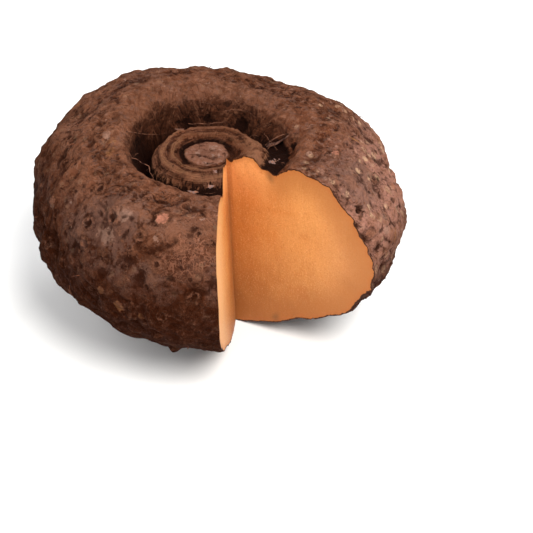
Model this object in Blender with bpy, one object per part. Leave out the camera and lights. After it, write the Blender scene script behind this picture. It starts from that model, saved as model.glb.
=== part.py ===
"""Elephant foot yam: one whole corm with a wedge cut out of it, in metres, +Z up.

The corm is a flattened globe with a sunken crown, a ring-ridged collar in the crown, and
root scars all over its skin. Its axis is the Z axis, and it rests on a small flat spot at
z = 0. The wedge was cut out of the side that faces -Y and +X.
"""

import math
import random

import bmesh
import bpy
from mathutils import Vector, noise

MM = 0.001

# The half outline, from the middle of the crown outwards and down to the middle of the
# base: distance from the axis and height above the surface, in millimetres.
CROWN_OUTLINE = [
    (0.0, 125.0),
    (9.0, 125.4),
    (12.6, 124.9),
    (14.8, 123.2),
    (16.8, 125.2),
    (22.0, 127.4),
    (27.5, 127.8),
    (31.8, 125.4),
    (35.5, 120.3),
    (39.8, 117.3),
    (43.8, 119.3),
    (47.8, 124.6),
    (54.0, 129.0),
]
SIDE_OUTLINE = [
    (63.0, 130.5),
    (74.0, 129.0),
    (85.0, 124.5),
    (97.0, 115.0),
    (107.0, 100.0),
    (113.0, 83.0),
    (114.5, 71.0),
    (110.5, 57.0),
    (101.0, 43.5),
    (87.0, 30.5),
    (69.0, 18.5),
    (51.0, 9.5),
    (37.0, 3.5),
    (27.0, 0.0),
    (14.0, -2.0),
    (0.0, -2.5),
]
STEPS_PER_SPAN = 12

# How far the collar, the rim of the crown and the resting spot lie from the axis.
COLLAR_SHIFT = Vector((-6.5, -8.5)) * MM
RIM_SHIFT = Vector((-5.0, -5.5)) * MM
REST_SHIFT = Vector((-5.0, 8.0)) * MM
COLLAR_EDGE = 34.0 * MM
RIM_EDGE = 48.0 * MM
CROWN_SHIFT_END = 84.0 * MM
REST_SHIFT_ENDS = (30.0 * MM, 80.0 * MM)

# The groove round the collar is deepest at the back left.
GROOVE_RADIUS = 39.8 * MM
GROOVE_WIDTH = 5.0 * MM
GROOVE_EXTRA_DEPTH = 13.0 * MM
GROOVE_DEEP_SIDE = math.radians(145)

# The front right of the collar bulges: it is higher and wider there, and its groove shallower.
BULGE_SIDE = math.radians(-27)
BULGE_SHARPNESS = 3
BULGE_PUSH = 4.5 * MM
BULGE_PUSH_WIDTH = 20.0 * MM
BULGE_LIFT = 2.5 * MM
BULGE_LIFT_RADIUS = 27.5 * MM
BULGE_LIFT_WIDTH = 9.0 * MM
BULGE_GROOVE_FILL = 7.0 * MM

# How far the groove and the rim of the crown stray from round.
CROWN_WOBBLE = 1.4 * MM
CROWN_WOBBLE_WIDTH = 16.0 * MM

# Growth rings of the old leaf base, on the collar.
RING_BAND = (17.0 * MM, 36.0 * MM)
RING_PITCH = 6.7 * MM
RING_HEIGHT = 0.8 * MM

# Broad swellings and hollows of the side: azimuth and height above the base of the middle,
# how far it stands out, and how wide it is.
SWELLINGS = [
    (math.radians(-2), 72 * MM, 2.5 * MM, 26 * MM),
    (math.radians(33), 92 * MM, 10.0 * MM, 36 * MM),
    (math.radians(84), 120 * MM, 5.5 * MM, 44 * MM),
    (math.radians(128), 114 * MM, 14.0 * MM, 44 * MM),
    (math.radians(160), 100 * MM, 11.0 * MM, 36 * MM),
    (math.radians(191), 66 * MM, 2.5 * MM, 30 * MM),
    (math.radians(208), 27 * MM, -6.5 * MM, 36 * MM),
    (math.radians(266), 36 * MM, -2.0 * MM, 34 * MM),
]
LUMP_SIZE = 34.0 * MM
LUMP_HEIGHT = 1.8 * MM
KNOB_SIZE = 15.0 * MM
KNOB_HEIGHT = 1.2 * MM
KNOB_OFFSET = Vector((7.1, 3.3, 5.9))
CROWN_SMOOTHNESS = 0.6

# Where along the outline the crown passes into the side, and the side into the plain base:
# distances from the end of the crown, and from the middle of the base.
CROWN_BLEND = (-10.0 * MM, 8.0 * MM)
BASE_BLEND = (75.0 * MM, 35.0 * MM)

# Root scars: a ring has a raised rim round a small pit, a pit is sunk, a pad is flat, and a
# stub is what is left of a root. The largest have their places here: azimuth in degrees,
# distance past the end of the crown in millimetres, size and kind. The others are drawn.
PLACED_SCARS = [
    (-110, 33, 1.30, "pad"),
    (-116, 46, 1.05, "ring"),
    (-136, 63, 1.10, "ring"),
    (-142, 10, 1.00, "ring"),
    (-133, 24, 0.90, "ring"),
    (-130, 41, 1.50, "pit"),
    (-145, 31, 1.00, "pit"),
    (-139, 52, 1.15, "pit"),
    (-162, 59, 0.90, "pad"),
    (-156, 83, 1.00, "ring"),
    (-144, 84, 1.00, "ring"),
    (-120, 22, 0.90, "ring"),
    (-108, 60, 0.90, "pit"),
    (-105, 91, 1.10, "ring"),
    (-96, 78, 1.10, "ring"),
    (-106, 140, 1.00, "stub"),
    (169, 21, 0.90, "ring"),
    (-32, 17, 0.90, "ring"),
    (-11, 21, 0.90, "pad"),
    (-18, 36, 0.90, "ring"),
    (-10, 50, 1.10, "ring"),
    (-31, 53, 0.90, "pit"),
    (-27, 89, 1.20, "pit"),
]
SCAR_SEED = 23
SCAR_COUNT = 110
SCAR_GAP = 14.5 * MM
SCAR_RADIUS = 3.7 * MM
SCAR_SIZES = (0.75, 1.2)
SCAR_KINDS = ["ring"] * 6 + ["pit"] * 4 + ["pad"] * 2 + ["stub"]
SCAR_FROM_CROWN = 9.0 * MM
SCAR_FROM_REST = 52.0 * MM

# Each kind of scar as rings from its edge inwards: the ring's share of the radius and its
# height, and last the height of the middle.
SCAR_RINGS = {
    "ring": ([(1.0, 0.0), (0.72, 1.3 * MM), (0.42, 0.4 * MM)], 0.3 * MM),
    "pit": ([(1.0, 0.0), (0.78, 0.7 * MM), (0.45, -0.5 * MM)], -0.8 * MM),
    "pad": ([(1.0, 0.0), (0.80, 0.9 * MM)], 1.0 * MM),
    "stub": ([(1.0, 0.0), (0.60, 2.8 * MM)], 3.6 * MM),
}

# The cut: where its inner edge meets the base and the crown, and the directions of its two
# faces, as azimuths from +X.
CUT_EDGE_FOOT = Vector((10.5, -12.5, 0.0)) * MM
CUT_EDGE_TOP = Vector((6.0, -12.5, 125.0)) * MM
CUT_LEFT_AZIMUTH = math.radians(-93)
CUT_RIGHT_AZIMUTH = math.radians(-31)
CUT_REACH = 220.0 * MM
CUT_BELOW = -30.0 * MM
CUT_ABOVE = 180.0 * MM

# The grid of faces before the cut: rows run from the crown to the base.
COLUMNS = 76
ROWS = 50
CROWN_ROWS_SHARE = 0.40
INSET = 0.4 * MM

SKIN_COLOUR = (0.115, 0.058, 0.037, 1.0)
SKIN_ROUGHNESS = 0.85


def spline(points, steps):
    """A smooth curve through the points, as a list of 2D vectors."""
    ends = [Vector(points[0]) * 2 - Vector(points[1]), Vector(points[-1]) * 2 - Vector(points[-2])]
    chain = [ends[0]] + [Vector(p) for p in points] + [ends[1]]
    curve = []
    for a, b, c, d in zip(chain, chain[1:], chain[2:], chain[3:]):
        for i in range(steps):
            t = i / steps
            curve.append(
                0.5 * (2 * b + (c - a) * t + (2 * a - 5 * b + 4 * c - d) * t**2 + (3 * b - a - 3 * c + d) * t**3)
            )
    curve.append(chain[-2])
    return curve


class Outline:
    """The corm's half outline, read by the distance along it."""

    def __init__(self):
        points = [(0.0 if r == 0.0 else r * MM, z * MM) for r, z in CROWN_OUTLINE + SIDE_OUTLINE]
        self.curve = spline(points, STEPS_PER_SPAN)
        self.lengths = [0.0]
        for a, b in zip(self.curve, self.curve[1:]):
            self.lengths.append(self.lengths[-1] + (b - a).length)
        self.total = self.lengths[-1]
        self.crown = self.lengths[(len(CROWN_OUTLINE) - 1) * STEPS_PER_SPAN]

    def at(self, distance):
        """The point at this distance from the middle of the crown, and the outward normal."""
        distance = min(max(distance, 0.0), self.total)
        low, high = 0, len(self.lengths) - 1
        while high - low > 1:
            middle = (low + high) // 2
            if self.lengths[middle] <= distance:
                low = middle
            else:
                high = middle
        a, b = self.curve[low], self.curve[high]
        along = (b - a).normalized()
        point = a.lerp(b, (distance - self.lengths[low]) / (self.lengths[high] - self.lengths[low]))
        return point, Vector((-along.y, along.x))


def ease(value, start, end):
    """0 before start, 1 after end, and smooth between them."""
    t = min(max((value - start) / (end - start), 0.0), 1.0)
    return t * t * (3 - 2 * t)


def bell(distance, width):
    return math.exp(-((distance / width) ** 2))


def relief(place, radius, azimuth, on_crown, on_base):
    """How far the skin stands out from the plain outline at a place on it."""
    height = LUMP_HEIGHT * noise.noise(place / LUMP_SIZE) * 2
    height += KNOB_HEIGHT * noise.noise(place / KNOB_SIZE + KNOB_OFFSET) * 2
    height *= 1.0 - CROWN_SMOOTHNESS * on_crown
    for side, level, rise, width in SWELLINGS:
        reach = max(radius, 1 * MM) * math.hypot(math.cos(azimuth) - math.cos(side), math.sin(azimuth) - math.sin(side))
        height += rise * bell(math.hypot(reach, place.z - level), width) * (1.0 - on_crown)
    height *= 1.0 - on_base
    if on_crown > 0.0:
        band = ease(radius, RING_BAND[0], RING_BAND[0] + RING_PITCH / 2)
        band *= 1.0 - ease(radius, RING_BAND[1] - RING_PITCH / 2, RING_BAND[1])
        height += RING_HEIGHT * band * math.sin(2 * math.pi * radius / RING_PITCH + ring_wobble(azimuth))
    return height


def ring_wobble(azimuth):
    """How far the growth rings are out of true, as part of a turn in radians."""
    return 1.2 * math.sin(azimuth - 0.4) + 0.8 * math.sin(2 * azimuth + 0.6) + 0.5 * math.sin(5 * azimuth)


def crown_push(radius, azimuth):
    """How far the crown's features lie outwards of their place on the plain outline."""
    bulge = (0.5 + 0.5 * math.cos(azimuth - BULGE_SIDE)) ** BULGE_SHARPNESS
    wobble = 0.6 * math.sin(3 * azimuth + 1.0) + 0.4 * math.sin(5 * azimuth + 2.2)
    push = BULGE_PUSH * bulge * bell(radius - GROOVE_RADIUS, BULGE_PUSH_WIDTH)
    return push + CROWN_WOBBLE * wobble * bell(radius - GROOVE_RADIUS, CROWN_WOBBLE_WIDTH)


def crown_lift(radius, azimuth):
    """How far the collar and its groove lie above the plain outline."""
    bulge = (0.5 + 0.5 * math.cos(azimuth - BULGE_SIDE)) ** BULGE_SHARPNESS
    deep = 0.5 + 0.5 * math.cos(azimuth - GROOVE_DEEP_SIDE)
    lift = BULGE_LIFT * bulge * bell(radius - BULGE_LIFT_RADIUS, BULGE_LIFT_WIDTH)
    groove = BULGE_GROOVE_FILL * bulge - GROOVE_EXTRA_DEPTH * deep
    return lift + groove * bell(radius - GROOVE_RADIUS, GROOVE_WIDTH)


def skin_point(outline, azimuth, distance):
    """The point of the skin at this azimuth and distance along the outline, and its outward direction."""
    point, across = outline.at(distance)
    around = Vector((math.cos(azimuth), math.sin(azimuth), 0.0))
    normal = around * across.x + Vector((0.0, 0.0, across.y))
    place = around * point.x + Vector((0.0, 0.0, point.y))
    on_crown = 1.0 - ease(distance, outline.crown + CROWN_BLEND[0], outline.crown + CROWN_BLEND[1])
    near_base = ease(distance, outline.total - BASE_BLEND[0], outline.total - BASE_BLEND[1])
    place += normal * relief(place, point.x, azimuth, on_crown, near_base)
    if distance < outline.total / 2:
        place += around * crown_push(point.x, azimuth)
        place.z += crown_lift(point.x, azimuth)
        shift = COLLAR_SHIFT.lerp(RIM_SHIFT, ease(point.x, COLLAR_EDGE, RIM_EDGE))
        place += (shift * (1.0 - ease(point.x, RIM_EDGE, CROWN_SHIFT_END))).to_3d()
    else:
        place += (REST_SHIFT * (1.0 - ease(point.x, *REST_SHIFT_ENDS))).to_3d()
    return place, normal


def row_distance(outline, share):
    """Distance along the outline of a row, given as its share of the way from pole to pole."""
    if share < CROWN_ROWS_SHARE:
        return outline.crown * share / CROWN_ROWS_SHARE
    return outline.crown + (outline.total - outline.crown) * (share - CROWN_ROWS_SHARE) / (1.0 - CROWN_ROWS_SHARE)


def draw_scars(outline):
    """The placed root scars and seeded ones between them, as azimuth, distance along the outline, size and kind."""
    rng = random.Random(SCAR_SEED)
    scars = [(math.radians(side), outline.crown + past * MM, size, kind) for side, past, size, kind in PLACED_SCARS]
    places = [skin_point(outline, azimuth, distance)[0] for azimuth, distance, size, kind in scars]
    first, last = outline.crown + SCAR_FROM_CROWN, outline.total - SCAR_FROM_REST
    widest = max(p.x for p in outline.curve)
    while len(scars) < SCAR_COUNT:
        azimuth = rng.uniform(-math.pi, math.pi)
        distance = rng.uniform(first, last)
        size = rng.uniform(*SCAR_SIZES)
        kind = rng.choice(SCAR_KINDS)
        if rng.random() > outline.at(distance)[0].x / widest:
            continue
        place = skin_point(outline, azimuth, distance)[0]
        if all((place - other).length > SCAR_GAP for other in places):
            scars.append((azimuth, distance, size, kind))
            places.append(place)
    return scars


def shape_corm(outline):
    """The whole corm before the cut, as a bmesh made from a sphere."""
    bm = bmesh.new()
    bmesh.ops.create_uvsphere(bm, u_segments=COLUMNS, v_segments=ROWS, radius=1.0)
    address = {}
    for vert in bm.verts:
        azimuth = math.atan2(vert.co.y, vert.co.x)
        share = math.acos(max(-1.0, min(1.0, vert.co.z))) / math.pi
        address[vert] = (azimuth, row_distance(outline, share))
    for vert, (azimuth, distance) in address.items():
        vert.co = skin_point(outline, azimuth, distance)[0]
    raise_scars(bm, outline, address)
    return bm


def raise_scars(bm, outline, address):
    """Shapes the four faces round the grid point nearest each scar into that kind of scar."""
    taken = set()
    for azimuth, distance, size, kind in draw_scars(outline):
        centre, normal = skin_point(outline, azimuth, distance)
        vert = min(address, key=lambda v: (v.co - centre).length_squared)
        patch = list(vert.link_faces)
        corners = {v for face in patch for v in face.verts}
        if len(patch) != 4 or corners & taken:
            continue
        taken |= corners
        middle = vert.co.copy()
        rings, middle_level = SCAR_RINGS[kind]
        for share, level in rings:
            bmesh.ops.inset_region(bm, faces=patch, thickness=INSET, use_even_offset=False)
            rim = {v for face in patch for v in face.verts} - {vert}
            for v in rim:
                flat = (v.co - middle) - normal * (v.co - middle).dot(normal)
                v.co = middle + flat.normalized() * (SCAR_RADIUS * size * share) + normal * level
        vert.co = middle + normal * middle_level


def flatten_base(bm):
    """Cuts the underside off level at z = 0, so that the corm rests on a flat spot."""
    bmesh.ops.bisect_plane(
        bm, geom=bm.verts[:] + bm.edges[:] + bm.faces[:], plane_co=(0, 0, 0), plane_no=(0, 0, 1), clear_inner=True
    )
    open_edges = [edge for edge in bm.edges if edge.is_boundary]
    bmesh.ops.contextual_create(bm, geom=open_edges)


def material(name, colour, roughness):
    made = bpy.data.materials.new(name)
    made.use_nodes = True
    shader = made.node_tree.nodes["Principled BSDF"]
    shader.inputs["Base Color"].default_value = colour
    shader.inputs["Roughness"].default_value = roughness
    shader.inputs["Metallic"].default_value = 0.0
    return made


def add_object(name, bm, collection):
    mesh = bpy.data.meshes.new(name)
    bm.to_mesh(mesh)
    bm.free()
    made = bpy.data.objects.new(name, mesh)
    collection.objects.link(made)
    return made


def build_corm(collection):
    outline = Outline()
    bm = shape_corm(outline)
    flatten_base(bm)
    bmesh.ops.recalc_face_normals(bm, faces=bm.faces[:])
    corm = add_object("corm", bm, collection)
    corm.data.materials.append(material("skin", SKIN_COLOUR, SKIN_ROUGHNESS))
    corm.data.shade_smooth()
    corm.data.set_sharp_from_angle(angle=math.radians(50))
    return corm


def build_cutter(collection):
    """A three-sided wedge whose inner edge leans as the knife did."""
    bm = bmesh.new()
    bmesh.ops.create_cone(bm, cap_ends=True, segments=3, radius1=1.0, radius2=1.0, depth=1.0)
    lean = (CUT_EDGE_TOP - CUT_EDGE_FOOT) / (CUT_EDGE_TOP.z - CUT_EDGE_FOOT.z)
    ends = {False: CUT_BELOW, True: CUT_ABOVE}
    reaches = [
        Vector((0, 0, 0)),
        Vector((math.cos(CUT_LEFT_AZIMUTH), math.sin(CUT_LEFT_AZIMUTH), 0)) * CUT_REACH,
        Vector((math.cos(CUT_RIGHT_AZIMUTH), math.sin(CUT_RIGHT_AZIMUTH), 0)) * CUT_REACH,
    ]
    for upper, level in ends.items():
        corners = sorted((v for v in bm.verts if (v.co.z > 0) == upper), key=lambda v: math.atan2(v.co.y, v.co.x))
        edge = CUT_EDGE_FOOT + lean * level
        for corner, reach in zip(corners, reaches):
            corner.co = edge + reach
    cutter = add_object("wedge_cutter", bm, collection)
    cutter.hide_render = True
    cutter.display_type = "WIRE"
    return cutter


def main():
    for old in list(bpy.data.objects):
        bpy.data.objects.remove(old)
    scene_root = bpy.context.scene.collection
    yam = bpy.data.collections.new("elephant_foot_yam")
    cutters = bpy.data.collections.new("cutters")
    scene_root.children.link(yam)
    scene_root.children.link(cutters)
    corm = build_corm(yam)
    cut = corm.modifiers.new("cut_wedge", "BOOLEAN")
    cut.operation = "DIFFERENCE"
    cut.solver = "EXACT"
    cut.object = build_cutter(cutters)


main()
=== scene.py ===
"""Dresses the elephant foot yam: its barky skin with root scars, the ringed crown with dry
fibres and leaf scales, and the orange flesh of the cut.

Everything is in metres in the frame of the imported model: +Z up, the crown on top, and the
wedge cut out of the side that faces -Y and +X.
"""

import math
import random
from bisect import bisect_right
from collections import namedtuple

import bmesh
import bpy
import numpy as np
from bpy.props import FloatProperty, FloatVectorProperty, IntProperty, PointerProperty
from mathutils import Matrix, Vector, kdtree, noise


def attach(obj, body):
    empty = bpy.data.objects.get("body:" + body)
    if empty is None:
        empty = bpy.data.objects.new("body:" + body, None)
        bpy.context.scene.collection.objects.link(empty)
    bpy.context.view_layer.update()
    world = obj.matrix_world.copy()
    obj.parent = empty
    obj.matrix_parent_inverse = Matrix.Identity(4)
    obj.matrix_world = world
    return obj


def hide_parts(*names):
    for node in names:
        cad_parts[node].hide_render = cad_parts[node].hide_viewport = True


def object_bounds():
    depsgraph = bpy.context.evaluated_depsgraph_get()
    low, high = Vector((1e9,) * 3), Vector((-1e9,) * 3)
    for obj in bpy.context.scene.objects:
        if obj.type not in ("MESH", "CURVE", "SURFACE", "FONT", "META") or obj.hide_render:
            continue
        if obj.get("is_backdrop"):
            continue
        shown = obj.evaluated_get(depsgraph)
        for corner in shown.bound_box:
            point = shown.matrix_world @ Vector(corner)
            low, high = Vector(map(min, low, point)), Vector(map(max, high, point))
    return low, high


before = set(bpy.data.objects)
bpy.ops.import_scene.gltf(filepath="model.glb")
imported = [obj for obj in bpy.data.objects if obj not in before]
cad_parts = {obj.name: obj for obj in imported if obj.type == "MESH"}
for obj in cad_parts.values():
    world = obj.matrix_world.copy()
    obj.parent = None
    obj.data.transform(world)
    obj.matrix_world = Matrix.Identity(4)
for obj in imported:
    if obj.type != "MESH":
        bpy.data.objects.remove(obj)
cad_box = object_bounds()

bl_info = {
    "name": "Elephant Foot Yam",
    "version": (1, 0, 0),
    "blender": (4, 5, 0),
    "location": "View3D > Sidebar > Yam",
    "description": "Dresses an elephant foot yam with its skin, crown, rootlets and cut flesh",
    "category": "Add Mesh",
}

MM = 0.001
BODY = "root"
CORM_NODE = "corm"

# The half outline, from the middle of the crown outwards and down to the middle of the
# base: distance from the axis and height above the surface, in millimetres.
CROWN_OUTLINE = [
    (0.0, 125.0), (9.0, 125.4), (12.6, 124.9), (14.8, 123.2), (16.8, 125.2), (22.0, 127.4),
    (27.5, 127.8), (31.8, 125.4), (35.5, 120.3), (39.8, 117.3), (43.8, 119.3), (47.8, 124.6),
    (54.0, 129.0),
]
SIDE_OUTLINE = [
    (63.0, 130.5), (74.0, 129.0), (85.0, 124.5), (97.0, 115.0), (107.0, 100.0), (113.0, 83.0),
    (114.5, 71.0), (110.5, 57.0), (101.0, 43.5), (87.0, 30.5), (69.0, 18.5), (51.0, 9.5),
    (37.0, 3.5), (27.0, 0.0), (14.0, -2.0), (0.0, -2.5),
]
STEPS_PER_SPAN = 12

# How far the collar, the rim of the crown and the resting spot lie from the axis.
COLLAR_SHIFT = Vector((-6.5, -8.5)) * MM
RIM_SHIFT = Vector((-5.0, -5.5)) * MM
REST_SHIFT = Vector((-5.0, 8.0)) * MM
COLLAR_EDGE = 34.0 * MM
RIM_EDGE = 48.0 * MM
CROWN_SHIFT_END = 84.0 * MM
REST_SHIFT_ENDS = (30.0 * MM, 80.0 * MM)

# The groove round the collar is deepest at the back left.
GROOVE_RADIUS = 39.8 * MM
GROOVE_WIDTH = 5.0 * MM
GROOVE_DEEP_SIDE = math.radians(145)

# The front right of the collar bulges: it is higher and wider there, and its groove shallower.
BULGE_SIDE = math.radians(-27)
BULGE_SHARPNESS = 3
BULGE_PUSH = 4.5 * MM
BULGE_PUSH_WIDTH = 20.0 * MM
BULGE_LIFT = 2.5 * MM
BULGE_LIFT_RADIUS = 27.5 * MM
BULGE_LIFT_WIDTH = 9.0 * MM
BULGE_GROOVE_FILL = 7.0 * MM

# How far the groove and the rim of the crown stray from round.
CROWN_WOBBLE = 1.4 * MM
CROWN_WOBBLE_WIDTH = 16.0 * MM

# Growth rings of the old leaf base, on the collar.
RING_BAND = (17.0 * MM, 36.0 * MM)
RING_PITCH = 6.7 * MM

# Broad swellings and hollows of the side: azimuth and height above the base of the middle,
# how far it stands out, and how wide it is.
SWELLINGS = [
    (math.radians(-2), 72 * MM, 2.5 * MM, 26 * MM), (math.radians(33), 92 * MM, 10.0 * MM, 36 * MM),
    (math.radians(84), 120 * MM, 5.5 * MM, 44 * MM),
    (math.radians(128), 114 * MM, 14.0 * MM, 44 * MM),
    (math.radians(160), 100 * MM, 11.0 * MM, 36 * MM),
    (math.radians(191), 66 * MM, 2.5 * MM, 30 * MM),
    (math.radians(208), 27 * MM, -6.5 * MM, 36 * MM),
    (math.radians(266), 36 * MM, -2.0 * MM, 34 * MM),
]
LUMP_SIZE = 34.0 * MM
LUMP_HEIGHT = 1.8 * MM
KNOB_SIZE = 15.0 * MM
KNOB_HEIGHT = 1.2 * MM
KNOB_OFFSET = Vector((7.1, 3.3, 5.9))
CROWN_SMOOTHNESS = 0.6

# Where along the outline the crown passes into the side, and the side into the plain base:
# distances from the end of the crown, and from the middle of the base.
CROWN_BLEND = (-10.0 * MM, 8.0 * MM)
BASE_BLEND = (75.0 * MM, 35.0 * MM)

# Root scars: a ring has a raised rim round a small pit, a pit is sunk, a pad is flat, and a
# stub is what is left of a root. The largest have their places here: azimuth in degrees,
# distance past the end of the crown in millimetres, size and kind. The others are drawn.
PLACED_SCARS = [
    (-110, 33, 1.30, "pad"), (-116, 46, 1.05, "ring"), (-136, 63, 1.10, "ring"),
    (-142, 10, 1.00, "ring"), (-133, 24, 0.90, "ring"), (-130, 41, 1.50, "pit"),
    (-145, 31, 1.00, "pit"), (-139, 52, 1.15, "pit"), (-162, 59, 0.90, "pad"),
    (-156, 83, 1.00, "ring"), (-144, 84, 1.00, "ring"), (-120, 22, 0.90, "ring"),
    (-108, 60, 0.90, "pit"), (-105, 91, 1.10, "ring"), (-96, 78, 1.10, "ring"),
    (-106, 140, 1.00, "stub"), (169, 21, 0.90, "ring"), (-32, 17, 0.90, "ring"),
    (-11, 21, 0.90, "pad"), (-18, 36, 0.90, "ring"), (-10, 50, 1.10, "ring"),
    (-31, 53, 0.90, "pit"), (-27, 89, 1.20, "pit"),
]
SCAR_SEED = 23
SCAR_COUNT = 110
SCAR_GAP = 14.5 * MM
SCAR_RADIUS = 3.7 * MM
SCAR_SIZES = (0.75, 1.2)
SCAR_KINDS = ["ring"] * 6 + ["pit"] * 4 + ["pad"] * 2 + ["stub"]
SCAR_FROM_CROWN = 9.0 * MM
SCAR_FROM_REST = 52.0 * MM

# Each kind of scar as shares of its radius with the height there, from the middle outwards.
SCAR_HEIGHTS = {
    "ring": [(0.0, 0.3), (0.42, 0.4), (0.72, 1.3), (1.15, 0.0)],
    "pit": [(0.0, -0.9), (0.45, -0.6), (0.78, 0.7), (1.15, 0.0)],
    "pad": [(0.0, 1.0), (0.80, 0.9), (1.15, 0.0)],
    "stub": [(0.0, 3.6), (0.30, 3.3), (0.60, 2.6), (1.10, 0.0)],
}
SMALL_SCAR_SEED = 5
SMALL_SCAR_GAP = 5.6 * MM
SMALL_SCAR_RADIUS = 2.3 * MM
SMALL_SCAR_SIZES = (0.55, 1.35)
NOTHING_NEAR = 4.0

# Blender seeds its vector noise by the clock unless it is given a seed. It bends the outlines
# of the scars and the creases of the bark.
NOISE_SEED = 7

# How far the outlines of the scars stray from round, and how finely.
SCAR_BEND, SCAR_BEND_SIZE = 1.1 * MM, 6.0 * MM
SCAR_RAGGED, SCAR_RAGGED_SIZE = 0.30, 3.5 * MM

# Worn and stained places on the skin, and sunk places darkened with painted shade: azimuth in
# degrees, distance past the end of the crown and radius in millimetres.
TAN_PLACES = [
    (-167, 9, 3.5), (-125, 84, 2.6), (-119, 91, 4.3), (-112, 95, 2.4), (-18, 85, 4.5),
    (-175, 7, 2.6), (150, 48, 5.0), (62, 70, 5.5), (20, 60, 4.0), (104, 88, 5.0),
]
PALE_PLACES = [
    (-110, 45, 1.9), (-126, 37, 5.0), (-129, 52, 6.0), (-157, 86, 4.0), (15, 21, 3.0),
    (-14, 7, 2.6), (-11, 21, 2.8), (-18, 33, 3.0), (-33, 17, 2.6), (-11, 47, 3.2), (-32, 25, 2.4),
    (-20, 69, 3.4), (-22, 76, 3.2), (-179, 11, 2.6), (-162, 61, 2.8), (-155, 83, 3.2),
    (35, 40, 3.4), (95, 50, 5.0), (160, 66, 5.0),
]
PINK_PLACES = [
    (-98, 53, 12.0), (-104, 60, 9.0), (70, 44, 9.0), (140, 80, 9.0),
]
SUNK_SHADE_PLACES = [
    (-118, 61, 5.0), (-113, 71, 5.0), (-140, 70, 5.0), (-126, 74, 4.0), (15, 49, 3.4),
    (-30, 53, 3.2), (-35, 59, 3.0), (3, -5, 3.0), (22, -13, 4.0), (109, -10, 5.0), (92, -9, 4.0),
    (64, -11, 6.0), (-29, 79, 3.2), (48, 66, 6.0), (118, 60, 5.0), (175, 80, 5.0),
]
GREY_PLACES = [
    (-130, 44, 24.0), (-20, 40, 22.0), (88, 58, 24.0),
]

# The cut: where its inner edge meets the base and the crown, and the directions of its two
# faces, as azimuths from +X.
CUT_EDGE_FOOT = Vector((10.5, -12.5, 0.0)) * MM
CUT_EDGE_TOP = Vector((6.0, -12.5, 125.0)) * MM
CUT_EDGE_LEAN = (CUT_EDGE_TOP - CUT_EDGE_FOOT) / (CUT_EDGE_TOP.z - CUT_EDGE_FOOT.z)
CUT_LEFT_AZIMUTH = math.radians(-93)
CUT_RIGHT_AZIMUTH = math.radians(-31)
CUT_REACH = 170.0 * MM
CUT_BELOW = -10.0 * MM
CUT_ABOVE = 160.0 * MM

# The share of the skin's rows, from pole to pole, that lie on the crown.
CROWN_ROWS_SHARE = 0.32
HOLLOW_ROUNDS = 24

FIBRE_SEED, ROOTLET_SEED, GRIT_SEED = 31, 47, 12


def a_count(name, description, default, **limits):
    return IntProperty(name=name, description=description, default=default, **limits)


def a_length(name, description, default):
    return FloatProperty(name=name, description=description, default=default, unit="LENGTH")


def a_colour(name, description, default):
    limits = {"size": 3, "min": 0.0, "max": 1.0}
    return FloatVectorProperty(
        name=name, description=description, default=default, subtype="COLOR", **limits
    )


class YamSizes(bpy.types.PropertyGroup):
    """Sizes of the relief and of the loose growth on the corm."""

    skin_cuts: a_count(
        "Skin cuts", "Cuts along each side of the cube that becomes the skin", 118, min=8, max=180
    )
    cut_cuts: a_count(
        "Cut face cuts", "Cuts along each side of the two cut faces", 84, min=4, max=180
    )
    groove_extra_depth: a_length(
        "Groove depth", "How much deeper the groove is on its deep side", 13 * MM
    )
    ring_height: a_length("Ring height", "Height of the growth rings on the collar", 0.5 * MM)
    scar_relief: FloatProperty(
        name="Scar relief",
        description="Height of the large root scars, as a multiple of the usual one",
        default=0.9,
        min=0.0,
    )
    small_scar_count: a_count(
        "Small scars", "Number of small root scars between the large ones", 480, min=0
    )
    small_scar_rise: a_length(
        "Small scar rise", "How far the ring of a small root scar stands out", 0.6 * MM
    )
    bark_height: a_length("Bark height", "Height of the skin's fine roughness", 1.15 * MM)
    knife_wave: a_length("Knife wave", "How far the cut faces stray from flat", 0.35 * MM)
    rind_thickness: a_length(
        "Rind thickness", "Thickness of the dark skin seen along the cut", 0.8 * MM
    )
    fibre_count: a_count(
        "Crown fibres", "Number of dry fibres in the groove of the crown", 30, min=0
    )
    rootlet_count: a_count("Rootlets", "Number of short dry rootlets on the skin", 46, min=0)


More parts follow.
